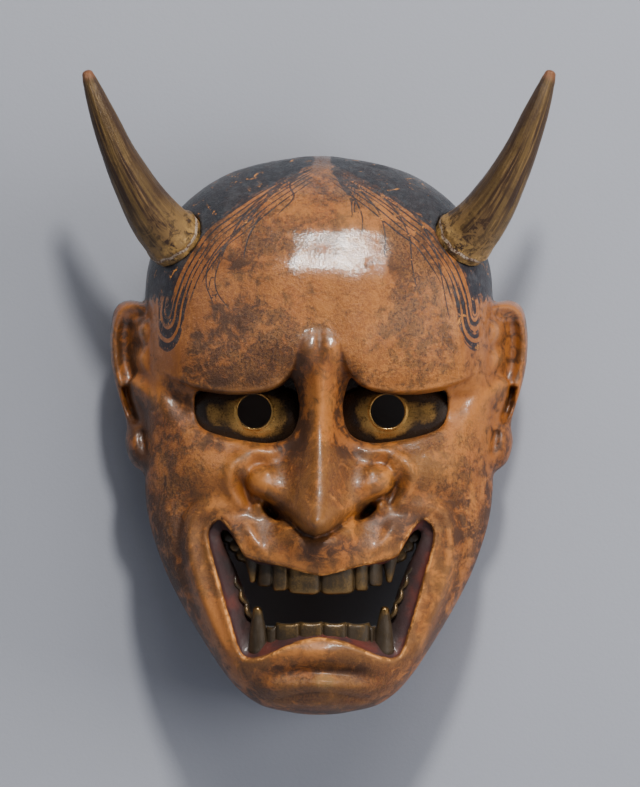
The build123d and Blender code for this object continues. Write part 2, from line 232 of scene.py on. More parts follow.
FRAME_GROOVE = [
    (36, -23.6), (44, -23.4), (51.0, -28.0), (53.6, -37), (52.8, -47), (50.0, -58), (46.0, -69),
    (41.0, -79.5), (36.5, -88),
]
LIP_FOLD = [(28.9, -29.6), (26.6, -35.5), (23.4, -41.5), (19.0, -47.0)]
CARVING = [
    (ridge, [(x + 0.3, h + 1.1) for x, h in BROW[2:]], 0.9, 0.25, 2.0, (0.1, 0.15)),
    # eye socket, with its deep inner corner
    (swell, (28, 6), (20, 10.5), -7.0), (swell, (10.8, 12), (3.6, 9.5), -6.0, 4),
    (swell, (53, 12), (8, 7), -2.5),
    (
        ridge, [(18, -31), (12, -35.5), (6, -38.8), (0, -40.4), (-6, -40.4)], [2.0, 3.2, 4.4, 5.0, 5.0],
        [0.4, 2.6, 4.6, 5.6, 5.6], 2.0, (0.3, 0),
    ),
    (
        ridge, [(21.6, -25.4), (17.6, -29.6), (12.6, -33.4)], [1.2, 1.5, 0.9], [-6.5, -8.0, -2.0], 2.0,
        (0.3, 0.35),
    ),
    # knobs at the root of the nose
    (swell, (5.4, 30.6), (4.0, 5.0), 2.6), (swell, (0, 33), (1.7, 7), -1.2),
    # wing of the nose, its curl and the ring round it
    (ridge, ALA, [1.0, 1.4, 1.6, 1.7, 1.6, 1.3], [-1.0, -1.8, -2.2, -2.3, -2.0, -1.0], 1.8, (0.1, 0.2)),
    (swell, (22.9, -27.0), (2.6, 2.4), 3.0), (swell, (19.2, -14.0), (2.4, 2.0), 1.5),
    (swell, (28.5, -12.5), (4.6, 6), 2.0, -50),
    (ridge, RING, [2.0, 2.2, 2.4, 2.6, 2.6, 2.4], [0.8, 1.7, 2.3, 2.8, 3.0, 1.8], 2.0, (0.1, 0.1)),
    # lower lid and the fold under it
    (
        ridge, [(7.6, 2.5), (11.0, -2.8), (18, -5.4), (28, -4.4), (38, -2.4), (46, 0.6), (49.5, 5)],
        [1.6, 2.0, 2.2, 1.8, 1.6, 1.4], [0.8, 1.8, 2.2, 1.7, 1.2, 0.8],
    ),
    # cheek and the fold that runs up to the ear
    (swell, (42, -11), (16, 11), 6.5, 18),
    (
        ridge, [(44, -3.5), (52, 1.5), (59, 9), (66, 17.5), (71, 22)], [3.5, 4.0, 4.0, 3.0],
        [0.6, 2.2, 3.2, 3.4], 2.0, (0.15, 0.02),
    ),
    (ridge, [(48.5, 15), (53, 13.5), (58, 15.5), (62, 20)], [1.6, 2.2, 2.2], [-0.8, -1.6, -1.2]),
    # lips
    (swell, (0, -45), (25, 9.5), 9.5), (swell, (33, -36), (9, 9), 3.5),
    (ridge, LIP_FOLD, [2.0, 2.4, 2.2, 1.8], [0.7, 1.5, 1.4, 0.6], 2.0, (0.3, 0.35)),
    (swell, (0, -42.5), (3.5, 4.0), -1.3),
    (swell, (0, -81.5), (25, 5.2), 5.0), (swell, (21, -87), (10, 4.5), 2.0, -15),
    # the smooth frame round the mouth
    (ridge, FRAME, [2.6, 3.0, 3.2, 3.2, 3.0, 2.8], [1.4, 2.4, 3.2, 3.4, 3.0, 1.6], 2.0, (0.12, 0.12)),
    (ridge, FRAME_GROOVE, [1.8, 2.2, 2.2, 2.0, 1.8], [-1.0, -1.8, -2.0, -1.6, -0.8], 1.8, (0.2, 0.2)),
    (swell, (55, -46), (5, 22), 2.2, -12),
    # chin
    (
        ridge, [(-5, -89.2), (9, -89.6), (18, -91.6), (27, -92.5)], [2.4, 2.6, 2.6, 2.4],
        [-1.7, -1.6, -1.1, -0.6], 2.0, (0, 0.3),
    ),
    (swell, (0, -93.5), (9, 3.4), 2.6), (swell, (14, -94.5), (9, 3.6), 1.6),
    (
        ridge, [(-5, -96.4), (8, -97.8), (15, -99.4), (22, -99.8)], [0.8, 0.9, 0.9], [-1.0, -0.9, -0.5],
        1.5, (0, 0.4),
    ),
]
BALL_AND_WING = [(swell, (20.5, -19.0), (7.6, 7.6), 7.5), (swell, (0, -31), (7.5, 7), 2.5)]
NOSE_FLANK = 20.0
NOSE_ROUNDING = ([0, 12, 22, 30], [7.5, 5.5, 3.5, 3.0])


def heaped(x, z, rows):
    """The sum of shapes, each given as its function and its values."""
    return sum(shape(x, z, *values) for shape, *values in rows)


def nose(side, z):
    """The nose, rounded off all along its edge."""
    width = smooth(NOSE_WIDTH, z)
    profile = 0.72 * np.exp(-np.abs(side / width) ** 2.3) + 0.28 * np.exp(-((side / (0.45 * width)) ** 2))
    out = smooth(NOSE_HEIGHT, z) * profile + heaped(side, z, BALL_AND_WING)
    _, _, under = measure(spline(NOSE_EDGE), side, z, NOSE_FLANK)
    away = np.where(z > -30, NOSE_FLANK, -NOSE_FLANK)
    under = np.where(np.abs(under) < NOSE_FLANK - 0.01, -under, away)
    lift = np.clip(under / np.interp(side, *NOSE_ROUNDING), 0, 1)
    return out * (1 - (1 - lift) ** 2.4)


def features(side, z):
    """What the carver raised and cut, over the plain dome of the face."""
    return cliff(side, z, BROW, BROW_RISE, 0.7, 44.0, 13.0) + nose(side, z) + heaped(side, z, CARVING)


def blur(field, sigma):
    """A soft average over sigma cells."""
    rows, columns = field.shape
    pad = int(3 * sigma) + 1
    wide = np.pad(field, pad, mode="edge")
    fz = np.fft.fftfreq(wide.shape[0])[:, None]
    fx = np.fft.rfftfreq(wide.shape[1])[None, :]
    kernel = np.exp(-2 * (math.pi * sigma) ** 2 * (fz * fz + fx * fx))
    return np.fft.irfft2(np.fft.rfft2(wide) * kernel, wide.shape)[pad : pad + rows, pad : pad + columns]


# ---------------------------------------------------------------- materials


def joins(operation, swap=False):
    def join(self, other):
        pair = (other, self) if swap else (self, other)
        return self.paint.put("ShaderNodeMath", {"operation": operation}, *pair)

    return join


class Signal:
    """A value that a material works out at each point of the surface."""

    def __init__(self, paint, socket):
        self.paint, self.socket = paint, socket

    __add__ = __radd__ = joins("ADD")
    __mul__ = __rmul__ = joins("MULTIPLY")
    __sub__, __rsub__ = joins("SUBTRACT"), joins("SUBTRACT", True)

    def math(self, operation, other=0.0):
        return joins(operation)(self, other)

    def over(self, low, high, kind="SMOOTHSTEP"):
        """0 up to low and 1 from high on. low may stand above high."""
        ends = (low, high, 0.0, 1.0) if low < high else (high, low, 1.0, 0.0)
        return self.paint.put(
            "ShaderNodeMapRange", {"interpolation_type": kind, "clamp": True}, self, *ends,
        )

    def toward(self, other, share):
        return self + share * (other - self)


class Paint:
    """A material's node tree. An output of a node is a Signal."""

    def __init__(self, name):
        self.material = bpy.data.materials.new(name)
        self.material.use_nodes = True
        self.tree = self.material.node_tree
        self.surface = self.tree.nodes["Principled BSDF"]
        self.where = self.put("ShaderNodeTexCoord", out="Object")

    def put(self, kind, settings=(), *inputs, out=0, **named):
        node = self.tree.nodes.new(kind)
        for key, value in dict(settings).items():
            setattr(node, key, value)
        for key, value in [*enumerate(inputs), *named.items()]:
            self.feed(node.inputs[key], value)
        return Signal(self, node.outputs[out])

    def feed(self, socket, value):
        if isinstance(value, Signal):
            self.tree.links.new(value.socket, socket)
        elif socket.type == "RGBA":
            socket.default_value = (*value, 1)
        else:
            socket.default_value = value

    def read(self, name):
        return self.put("ShaderNodeAttribute", {"attribute_name": name}, out="Fac")

    def stretched(self, scale, turn=(0, 0, 0)):
        return self.put("ShaderNodeMapping", Vector=self.where, Scale=scale, Rotation=turn)

    def noise(self, scale, detail=3.0, rough=0.55, where=None, bend=0.0):
        """Cloudy unevenness, about 0 to 1. scale is in lumps to a metre."""
        values = {"Scale": scale, "Detail": detail, "Roughness": rough, "Distortion": bend}
        return self.put("ShaderNodeTexNoise", Vector=where or self.where, **values)

    def mix(self, share, a, b):
        node = self.tree.nodes.new("ShaderNodeMix")
        node.data_type = "RGBA"
        for name, value in ((0, share), (6, a), (7, b)):
            self.feed(node.inputs[name], value)
        return Signal(self, node.outputs[2])

    def layered(self, colour, layers):
        """Coats of (colour, share), one over the other."""
        for coat, share in layers:
            colour = self.mix(share, colour, coat)
        return colour

    def bump(self, height, distance, strength=1.0):
        return self.put("ShaderNodeBump", Height=height, Distance=distance, Strength=strength)

    def finish(self, colour, roughness, normal, metallic=0.0, coat=0.0, coat_roughness=0.2):
        inputs = {
            "Base Color": colour, "Roughness": roughness, "Normal": normal, "Metallic": metallic,
            "Coat Weight": coat, "Coat Roughness": coat_roughness,
        }
        for name, value in inputs.items():
            self.feed(self.surface.inputs[name], value)
        return self.material


COPPER = (0.520, 0.160, 0.022)
LIGHT_COPPER = (0.900, 0.380, 0.078)
OCHRE = (0.560, 0.220, 0.030)
RUST = (0.500, 0.112, 0.014)
UMBER = (0.044, 0.0155, 0.0050)
# near black, for soot streaks and for the deepest painted shade
SOOT_AND_SHADE = (0.0095, 0.0065, 0.0050)
TAUPE = (0.190, 0.084, 0.034)
INK = (0.0038, 0.0070, 0.0125)
WORN_INK = (0.020, 0.026, 0.033)
OXBLOOD = (0.038, 0.0150, 0.0155)
LIP_RED = (0.080, 0.018, 0.0125)
WORN_EDGE = (0.680, 0.290, 0.075)
# bright gold, for rubbed spots and painted highlights
RUBBED_GOLD_AND_SHINE = (0.860, 0.460, 0.130)
BARE_WOOD = (0.130, 0.070, 0.036)
GRAIN_HEIGHT = 0.00022
STRAND_PITCH = (1.85, 1.07)


def hair_shares(p, speck):
    """How much hair there is: solid black, combed strands at its edge, and single loose hairs."""
    hair, strand = p.read("hair"), p.read("strand")
    edge = hair + (p.noise(260, 5, 0.7, bend=0.6) - 0.5) * 5.0
    solid = edge.over(-0.6, 0.8)
    comb = strand + (p.noise(34, 3, 0.5) - 0.5) * 1.8
    wide, narrow = [(comb * (2 * math.pi / pitch)).math("SINE") for pitch in STRAND_PITCH]
    lines = wide * 0.5 + narrow * 0.34 + (p.noise(90, 3, 0.6) - 0.5) * 1.1
    height = p.put("ShaderNodeSeparateXYZ", Vector=p.where, out=2)
    bold = height.over(0.062, 0.046) * 0.34
    lines = (lines + bold + strand.over(7.0, 0.5, "LINEAR") * 0.36).over(0.36, 0.48)
    lines = lines * (p.read("hair_zone") * 0.93)
    across = (p.read("wisp") + (p.noise(150, 3, 0.6) - 0.5) * 2.0).math("ABSOLUTE")
    wisps = across.over(1.75, 1.05) * p.read("wisp_near").over(1.7, 1.3)
    wisps = wisps * p.noise(210, 3, 0.6).over(0.30, 0.38)
    share = (solid * 0.97).math("MAXIMUM", lines).math("MAXIMUM", wisps * 0.85)
    return share * (speck + solid * -0.08).over(0.66, 0.58), height


def face_paint():
    p = Paint("worn_painted_wood")
    fine, broad, patina_shade_and_shine, mouth, rough_part, front, jaw, ear = [
        p.read(name) for name in ("fine", "broad", "patina_shade_and_shine", "mouth", "rough", "front", "jaw", "ear_part")
    ]
    cloud = p.noise(26, 4, 0.6, bend=0.6)
    patch = p.noise(75, 5, 0.65, bend=0.4)
    blotch = p.noise(190, 5, 0.7, bend=0.5)
    speck = p.noise(820, 4, 0.75)
    grain = p.noise(420, 3, 0.6, p.stretched((1.0, 1.0, 0.16)), 0.8)
    streak = p.noise(230, 5, 0.7, p.stretched((1.5, 1.0, 0.26), (0, math.radians(8), 0)), 0.7)
    off_patch, off_blotch, off_speck = patch - 0.5, blotch - 0.5, speck - 0.5
    specks = speck.over(0.48, 0.56) * (rough_part * 0.62 + 0.26)
    flecks = p.noise(1250, 3, 0.6).over(0.51, 0.61) * (rough_part * 0.48 + 0.26)
    crust = p.noise(340, 6, 0.75, bend=0.8).over(0.50, 0.58) * (rough_part * 0.22 + 0.44)
    soot = streak.over(0.45, 0.53) * jaw * p.noise(60, 3, 0.6).over(0.36, 0.52)
    # darker in the creases: patina, with painted shade
    hollow = (fine + off_patch * 0.12).over(-0.05, -0.42)
    worn = (fine * 0.8 + (off_speck * 1.5 + off_blotch * 1.8)).over(0.20, 0.44) * (0.72 - ear * 0.45)
    mottled_patina_shade_and_shine = patina_shade_and_shine + (off_patch * 1.35 + (off_blotch * 1.1 + off_speck * 1.2))
    ear_dark = ear * (off_patch + broad * -0.10).over(-0.16, 0.12)
    plain = p.mix((cloud + off_blotch).over(0.40, 0.60), UMBER, COPPER)
    ragged = mouth + (p.noise(260, 3, 0.6) - 0.5) * 0.9
    gums = p.mix(p.noise(90, 4, 0.6).over(0.46, 0.62), OXBLOOD, LIP_RED)
    gums = p.mix((mouth + off_patch * 6.0).over(1.6, 6.0) * 0.70, gums, SOOT_AND_SHADE)
    lip_line = ragged.over(-0.9, -0.4) * ragged.over(0.6, 0.1)
    hair, height = hair_shares(p, speck)
    ink = p.layered(INK, [
        (WORN_INK, p.noise(300, 4, 0.7).over(0.47, 0.64)),
        (OCHRE, p.noise(170, 5, 0.75, bend=0.8).over(0.60, 0.67) * 0.8),
    ])
    bare = p.layered(BARE_WOOD, [
        (UMBER, p.noise(160, 4, 0.6, p.stretched((1.0, 1.0, 0.12)), 1.2).over(0.38, 0.64)),
        (SOOT_AND_SHADE, p.noise(30, 4, 0.6).over(0.5, 0.72) * 0.5),
    ])
    inside_wood = front.over(0.6, 0.4)
    colour = p.layered(COPPER, [
        # the ground colour
        (OCHRE, cloud.over(0.40, 0.60)),
        (LIGHT_COPPER, (patch + off_blotch * 0.6).over(0.48, 0.62) * 0.62),
        (RUST, p.noise(48, 4, 0.6, bend=1.0).over(0.52, 0.66) * 0.65),
        (TAUPE, (1.0 - rough_part) * 0.30),
        # specks of the rubbed ground, on the forehead and the cheeks
        (UMBER, specks),
        (LIGHT_COPPER, flecks),
        (UMBER, crust),
        (LIGHT_COPPER, (blotch + off_speck * 0.8).over(0.50, 0.40) * 0.42),
        (UMBER, grain.over(0.50, 0.64) * 0.30),
        (UMBER, (blotch + off_speck * 0.5).over(0.55, 0.66) * 0.50),
        # soot in streaks down the cheeks and the jaw
        (UMBER, soot * 0.80),
        (SOOT_AND_SHADE, streak.over(0.53, 0.60) * jaw * 0.92),
        # patina in the hollows with painted shade of the creases and recesses, and wear on what stands up
        (UMBER, hollow * 0.60),
        (UMBER, (broad + off_patch * 1.5).over(-0.4, -3.0) * 0.66),
        (WORN_EDGE, worn),
        (LIGHT_COPPER, broad.over(0.5, 2.2) * 0.28),
        # the patina map: patina with near-black painted shade at the inner eye corners and beside the
        # nose, and rubbed gold with painted highlights on the chin and the ridge round the mouth
        (UMBER, mottled_patina_shade_and_shine.over(-0.06, -0.62) * 0.92),
        (SOOT_AND_SHADE, mottled_patina_shade_and_shine.over(-0.62, -1.15) * 0.90),
        (LIGHT_COPPER, mottled_patina_shade_and_shine.over(0.10, 0.45) * 0.70),
        (RUBBED_GOLD_AND_SHINE, mottled_patina_shade_and_shine.over(0.55, 0.95) * 0.90),
        (UMBER, ear_dark * 0.80),
        (p.mix(0.6, plain, UMBER), p.read("flank") * 0.80),
        # gums and the worn line of the lips
        (gums, ragged.over(0.35, 0.75)),
        (WORN_EDGE, lip_line * (blotch.over(0.46, 0.60) * 0.8)),
        (ink, hair),
        (bare, inside_wood),
    ])
    roughness = rough_part * 0.02 + 0.42 + off_patch * 0.30 + specks * 0.10
    roughness = roughness + mottled_patina_shade_and_shine.over(0.0, -0.5) * 0.16 + mouth.over(-14.0, -2.0) * 0.10
    relief = speck * (rough_part * 2.4 + 0.5) + patch * 0.9 + blotch * 1.2 + hair * 0.35
    polish = (patch + off_speck * 1.2).over(0.26, 0.50) * (hair * -0.7 + 1.0)
    coat = (height.over(0.020, 0.045) * 0.86 + 0.14) * polish
    p.feed(p.surface.inputs["Coat Normal"], p.bump(relief, GRAIN_HEIGHT, 0.16))
    return p.finish(
        colour, roughness.toward(0.62, inside_wood), p.bump(
            relief, GRAIN_HEIGHT,
        ), coat=coat, coat_roughness=0.13,
    )


def gilt(name, gold, dark, worn, cloud_scale, edge_low, edge_high, roughness):
    """Old gilding: bright where it is rubbed, dark where it is not, and dark too where the value it reads
    holds painted shade.
    """
    p = Paint(name)
    cloud = p.noise(cloud_scale, 4, 0.6, bend=0.5)
    grit = p.noise(1400, 3, 0.6)
    share = p.read("wear_and_shade") + (cloud - 0.5) * 0.9 + (grit - 0.5) * 0.35
    colour = p.layered(dark, [
        (gold, share.over(edge_low, edge_high)),
        (worn, share.over(edge_high + 0.15, edge_high + 0.65)),
        (dark, p.noise(500, 4, 0.7).over(0.56, 0.68) * 0.5),
    ])
    rough = (grit - 0.5) * 0.22 + roughness
    return p.finish(
        colour, rough, p.bump(grit + cloud * 1.5, 0.00012), share.over(edge_low - 0.25, edge_high),
    )


HORN_OLIVE = (0.105, 0.062, 0.020)
HORN_BROWN = (0.034, 0.0165, 0.0085)
HORN_STRAW = (0.25, 0.145, 0.050)
HORN_TIP = (0.20, 0.075, 0.030)
COLLAR_GOLD = (0.36, 0.21, 0.06)
SEAM_DUST = (0.42, 0.33, 0.24)
SEAM_DARK = (0.11, 0.05, 0.03)


def horn_paint():
    p = Paint("rubbed_horn")
    along, across, seam = p.read("along"), p.read("across"), p.read("seam")
    around = p.put("ShaderNodeCombineXYZ", (), across, p.read("front_side"), along * 0.5)
    streak = p.noise(2.2, 4.0, 0.62, around)
    fibre = p.noise(9.0, 3.0, 0.65, around)
    grit = p.noise(1100, 4, 0.7)
    colour = p.layered(HORN_BROWN, [
        (HORN_OLIVE, streak.over(0.40, 0.56)),
        (HORN_STRAW, fibre.over(0.50, 0.68) * 0.45),
        (HORN_BROWN, p.noise(140, 4, 0.65, bend=0.5).over(0.50, 0.66) * 0.45),
        (HORN_BROWN, across.over(0.1, 0.95) * 0.55),
        (HORN_BROWN, grit.over(0.52, 0.66) * 0.45),
        (HORN_STRAW, along.over(0.34, 0.02) * p.noise(220, 4, 0.7, bend=0.6).over(0.42, 0.54) * 0.85),
        (COLLAR_GOLD, along.over(0.16, 0.04) * p.noise(520, 4, 0.7).over(0.50, 0.60) * 0.85),
        (HORN_TIP, along.over(0.955, 1.0) * 0.8),
        (p.mix(grit.over(0.45, 0.6), SEAM_DUST, SEAM_DARK), seam.over(0.35, 0.65)),
    ])
    roughness = (fibre - 0.5) * 0.3 + 0.40
    return p.finish(colour, roughness, p.bump(grit * 0.8 + fibre * 1.4, 0.0002), metallic=0.25)


# ---------------------------------------------------------------- the maps and the solid

MAP_CELL = 0.4
MAP_HALF = 84.0
EAR = [
    (58, 45), (61, 48.5), (66, 49.8), (73, 50.8), (77.8, 47.8), (79.6, 40), (79.7, 32), (78.9, 24.8),
    (76.5, 15.4),
    (73.9, 7.0), (73.2, 2.5), (73.8, -3.5), (71.8, -10.2), (68, -13.8), (63, -15.2), (58, -12),
]
HELIX = [
    (64.5, 47.2), (70.5, 48.6), (75.6, 46.4), (77.9, 39), (78.0, 31), (76.8, 22), (74.4, 13), (72.4, 6),
]
SCAPHA = [(70.5, 44), (73.2, 38), (73.0, 30), (71.2, 23), (68.0, 17)]
ANTIHELIX = [(63.6, 44.5), (66.4, 39), (65.0, 33), (66.6, 27.5), (63.6, 22), (61.0, 18)]
EAR_FOLD = [(58, 7.5), (63, 13.5), (68, 18.5), (71.2, 20.8)]
CONCHA = [(73.8, 18.6), (72.9, 12.5), (70.6, 7.0), (68.6, 2.5)]
EAR_BACK = 15.5
PLATE_LEDGE = 46.0
SEAT = (52.9, -42.7, 72.1)
HORN_AXIS = (0.599251, -0.519351, 0.609239)
SEAT_RADIUS = 11.8
MORTISE_RADIUS = 6.1
MORTISE_DEPTH = 12.0
CORD_HOLE = (-8.5, 22.0, 2.5)
END_HALF_WIDTH = 14.0
WALL_AT_SIDE = 9.0
HEAD_END = 104.5
HOLLOW_END = 95.5
HOLLOW_HALF_HEIGHT = 97.0
END_ROUNDING = 1.5
EAR_ROUNDING = 4.2


EAR_CARVING = [
    (ridge, HELIX, [1.8, 2.0, 2.0, 1.9, 1.7], [2.0, 2.8, 3.0, 2.8, 1.8], 2.0, (0.05, 0.1)),
    (ridge, SCAPHA, [2.6, 3.4, 3.3, 2.4], [-2.2, -3.4, -3.6, -2.4], 2.0, (0.15, 0.15)),
    (ridge, ANTIHELIX, [2.4, 3.6, 2.7, 3.4, 2.4, 2.2], [2.0, 5.6, 3.8, 5.6, 3.6, 3.0], 2.0, (0.08, 0.02)),
    (ridge, EAR_FOLD, [4.0, 3.6, 2.6], [5.0, 6.0, 5.2], 2.2, (0.02, 0.02)),
    (ridge, CONCHA, [1.3, 1.7, 1.4], [-6.5, -8.0, -3.0], 2.4, (0.06, 0.2)),
    (swell, (69.5, -4.5), (4.6, 7.5), 4.0), (swell, (65.2, -10.5), (2.6, 4.2), 2.6, 15),
    (ridge, [(67.5, 2), (66.2, -4), (63.5, -9)], 1.6, -2.2),
    (ridge, [(60.5, 47), (61.6, 38), (60.4, 29), (58.4, 21)], 1.7, -3.5),
]


def ear_depth(side, z):
    """How far the ear stands forward of the rim."""
    return 37.5 - 0.62 * (side - 60) + heaped(side, z, EAR_CARVING)


WAVES = 7


def wobble(x, z, seed, sizes, heights):
    """Smooth unevenness of a hand-finished surface."""
    rng = np.random.default_rng(seed)
    out = np.zeros(np.broadcast(x, z).shape)
    for size, height in zip(sizes, heights):
        for _ in range(WAVES):
            angle, phase = rng.uniform(0, 2 * math.pi, 2)
            scale = size * rng.uniform(0.7, 1.4)
            c, s = math.cos(angle), math.sin(angle)
            bend = 0.8 * np.sin((x * s - z * c) / (1.7 * scale) + phase)
            out += height / WAVES**0.5 * np.sin((x * c + z * s) / scale + phase + bend)
    return out


class Maps:
    """The carving as fine maps over the front of the face, read anywhere by interpolation."""

    def __init__(self):
        self.xs = np.arange(-MAP_HALF, MAP_HALF + MAP_CELL / 2, MAP_CELL)
        self.zs = np.arange(-110, 110 + MAP_CELL / 2, MAP_CELL)
        x, z = np.meshgrid(self.xs, self.zs)
        mid = MID - 1.7 * np.exp(-(((z + 42) / 14) ** 2)) * np.exp(-((x / 15) ** 2))
        drift = wobble(x, z, 3, [30, 14], [0.35, 0.15])
        side = np.sqrt((x - mid + drift) ** 2 + 0.04)
        plain = np.abs(x)
        share = x / np.maximum(half_width_at(z), 0.5)
        carved = features(side, z + wobble(x, z, 4, [30, 14], [0.35, 0.12]))
        outlines = (
            ("mouth", whole(MOUTH_OUTER), x - MID), ("through", whole(MOUTH_THROUGH), x - MID),
            ("eye", EYE_OPENING, np.abs(x - MID)), ("ear_edge", EAR, plain),
        )
        self.data = {name: inside(spline(line, 6, True), across, z) for name, line, across in outlines}
        lip, ear_edge = self.data["mouth"], self.data["ear_edge"]
        gum = -(2.0 * ramp(-0.2, 0.9, lip) + 0.9 * np.clip(lip, 0, 14))
        rim = 0.45 * np.exp(-(((lip + 1.0) / 0.8) ** 2))
        uneven = wobble(x, z, 5, [7.0, 3.2, 1.6], [0.16, 0.08, 0.035])
        carved = carved + gum + rim + uneven
        ear = ear_depth(plain, z) + uneven
        depth = smooth(EDGE_DEPTH, z) + (smooth(CENTRE_DEPTH, z) - smooth(EDGE_DEPTH, z)) * dome(share)
        surface = np.where(np.abs(share) < 1, depth + carved, 0)
        surface = np.maximum(surface, np.where(ear_edge > 0, ear, 0))
        hair, strand, among = hair_maps(side, z)
        on_ear = (ear_edge > -0.5) & (plain > 60.5)
        wisp, wisp_near = wisp_maps(x, z)
        groove_x = smooth([(h, across) for across, h in FRAME_GROOVE[2:]] + [(-10, 55.0), (4, 58.0)], z)
        self.data |= {
            "carved": carved,
            "ear": ear,
            "fine": self.relief(surface, 1.0),
            "broad": self.relief(surface, 4.0),
            "strand": strand,
            "hair": np.where(on_ear, -8.0, hair),
            "hair_zone": ramp(26, 30, z) * ramp(2.5, 5.0, side) * ~on_ear * among,
            "wisp": wisp,
            "wisp_near": wisp_near,
            "patina_shade_and_shine": patina_shade_and_shine_map(x - MID, z),
            "ear_part": ramp(60.0, 63.0, plain) * (ear_edge > -1.0),
            "rough": rough_map(side, z),
            "jaw": ramp(-1.0, 5.0, side - groove_x) * ramp(8, -12, z),
        }

    def relief(self, surface, size):
        """How far the surface stands above its own soft average, cut off where the face ends."""
        known = (surface > 1).astype(float)
        weight = np.maximum(blur(known, size / MAP_CELL), 1e-3)
        return (surface - blur(surface * known, size / MAP_CELL) / weight) * known

    def read(self, name, x, z):
        data = self.data[name]
        u = np.clip((x - self.xs[0]) / MAP_CELL, 0, len(self.xs) - 1.001)
        v = np.clip((z - self.zs[0]) / MAP_CELL, 0, len(self.zs) - 1.001)
        i, j = u.astype(int), v.astype(int)
        a, b = u - i, v - j
        low = data[j, i] * (1 - a) + data[j, i + 1] * a
        high = data[j + 1, i] * (1 - a) + data[j + 1, i + 1] * a
        return low * (1 - b) + high * b


def rough_map(side, z):
    """Where the paint is rubbed and speckled, not smooth: the forehead, the cheeks and the chin."""
    brow_line = smooth([(0, 38), (7.0, 35)] + BROW[3:] + [(70, 26)], side)
    forehead = ramp(0.5, 3.0, z - brow_line) * np.maximum(ramp(54.0, 51.5, side), ramp(62, 70, z))
    cheek = np.clip(
        swell(side, z, (46, -9), (15, 12), 1.35) + swell(side, z, (58, -45), (8, 42), 1.2), 0, 1,
    )
    chin = swell(side, z, (0, -94), (26, 7), 0.9)
    return np.clip(np.maximum(np.maximum(forehead, cheek), chin), 0, 1)


HAIR_EDGE = [
    (3.2, 109), (3.6, 102.5), (10, 98.6), (23.6, 91.2), (33.7, 84.2), (41.8, 78.2), (47.9, 70.5),
    (53.0, 62), (56.5, 52), (57.6, 46),
]
LOOP_END = 47.0
LOOP_SQUASH = 0.42
SOLID_END = 51.0
STRAND_SPREAD = [(104, 0.35), (90, 0.7), (74, 1.0), (25, 1.0)]
STRAND_LIMIT = [(30, 6.9), (46, 7.0), (66, 11.5), (90, 8.5), (104, 3.0)]
WISPS = [
    [(5.4, 99.3), (11.8, 91.4), (16.0, 82.9), (16.3, 76.5)],
    [(6.1, 100), (16.0, 91.4), (22.5, 83.6), (24.9, 75.1), (24.6, 67.9)],
    [(6.8, 100.7), (20.3, 92.2), (28.9, 84.3), (33.9, 74.3), (34.9, 64.4), (36.3, 56.5)],
    [(7.5, 101.4), (27.5, 90), (37.4, 80.8), (43.8, 68.6), (46.7, 55.8), (48.8, 44.4)],
    [(7.5, 95.7), (11.8, 88.6), (12.5, 82.9)],
    [
        (-3.9, 100), (-13.9, 95), (-22.4, 88.6), (-28.8, 81.5), (-34.5, 71.5), (-38.8, 60.1), (-38.1, 53),
        (-33.8, 47.3),
    ],
    [(-12.5, 95.7), (-22.4, 85.7), (-28.1, 78.6), (-40.2, 65.8), (-42.4, 57.2), (-40.2, 50.1)],
    [(-6.8, 98.6), (-11, 94.3), (-9.6, 89.3), (-14.6, 83.6)],
    [(-22.4, 81.5), (-26.4, 74.3), (-28.1, 67.2)],
]
# Mirrored to both sides. Below 0: dark patina with painted shade at the inner eye corners, beside the nose
# and nostrils, under the nose, at the mouth corners and in the chin groove. Above 0: rubbed paint, with a
# painted highlight along the ridge round the mouth.
PATINA_SHADE_AND_SHINE = [
    ((7.9, 4.0), (2.7, 9.5), -1.6), ((9.6, 16.0), (3.0, 8.0), -1.5), ((13.5, -3.0), (5.5, 4.0), -1.2, 20),
    ((28, 20), (24, 2.6), -0.3), ((18, -29), (6.0, 2.6), -0.7, -38), ((31, -23), (3.4, 7.0), -0.35),
    ((38, -34), (5.0, 4.0), -1.0), ((52, -40), (2.8, 16.0), -0.55, 8), ((0, -88.5), (24, 2.0), -0.85),
    ((63, -38), (4.0, 34.0), -0.5, -12), ((27, -98), (11, 3.5), -0.5, 20), ((58, 32), (6.0, 16.0), -0.35),
    ((46, 66), (6.0, 14.0), -0.4, 30), ((24, -18), (4.5, 4.5), 0.15), ((0, -58), (60, 44), 0.16),
    ((38, -13), (12.0, 5.5), 0.35, 15), ((44, -50), (2.6, 16.0), 0.22, 12),
    ((30, -37), (8.0, 6.0), -0.40), ((30, -90), (6.0, 6.0), 0.25), ((10, -8), (3.5, 14.0), -0.25, -12),
    ((56, 34), (4.0, 14.0), -0.25), ((0, -43), (14.0, 5.0), -0.95), ((58, -2), (5.0, 9.0), -0.25),
]
# One-sided marks: real stains and rubbed spots, painted shade darkening the left forehead, cheek and jaw,
# and a bright chin spot that is rubbed gilt with a painted highlight.
STAINS_SHADE_AND_SHINE = [
    ((1.0, -92.5), (3.4, 4.0), 1.7), ((0.0, -31.0), (3.0, 4.0), 0.3),
    ((-32.5, 63.5), (7.5, 2.6), -0.65, -8), ((26.0, 61.0), (3.6, 2.4), -0.4),
    ((-37.0, 38.0), (16.0, 20.0), -0.30), ((0.0, 45.0), (6.0, 9.0), 0.15),
    ((12.0, 80.0), (9.0, 7.0), 0.35, 20), ((-26.0, 78.0), (9.0, 4.5), 0.35, 30),
    ((22.0, 84.0), (3.0, 3.0), 0.5), ((36.0, -8.0), (10.0, 4.0), 0.25, 12),
    ((-10.0, 66.0), (4.0, 3.0), -0.2), ((-47.0, -30.0), (5.0, 9.0), 0.15),
    ((-44.0, -6.0), (16.0, 16.0), -0.28), ((-54.0, -55.0), (8.0, 20.0), -0.25, 12),
]


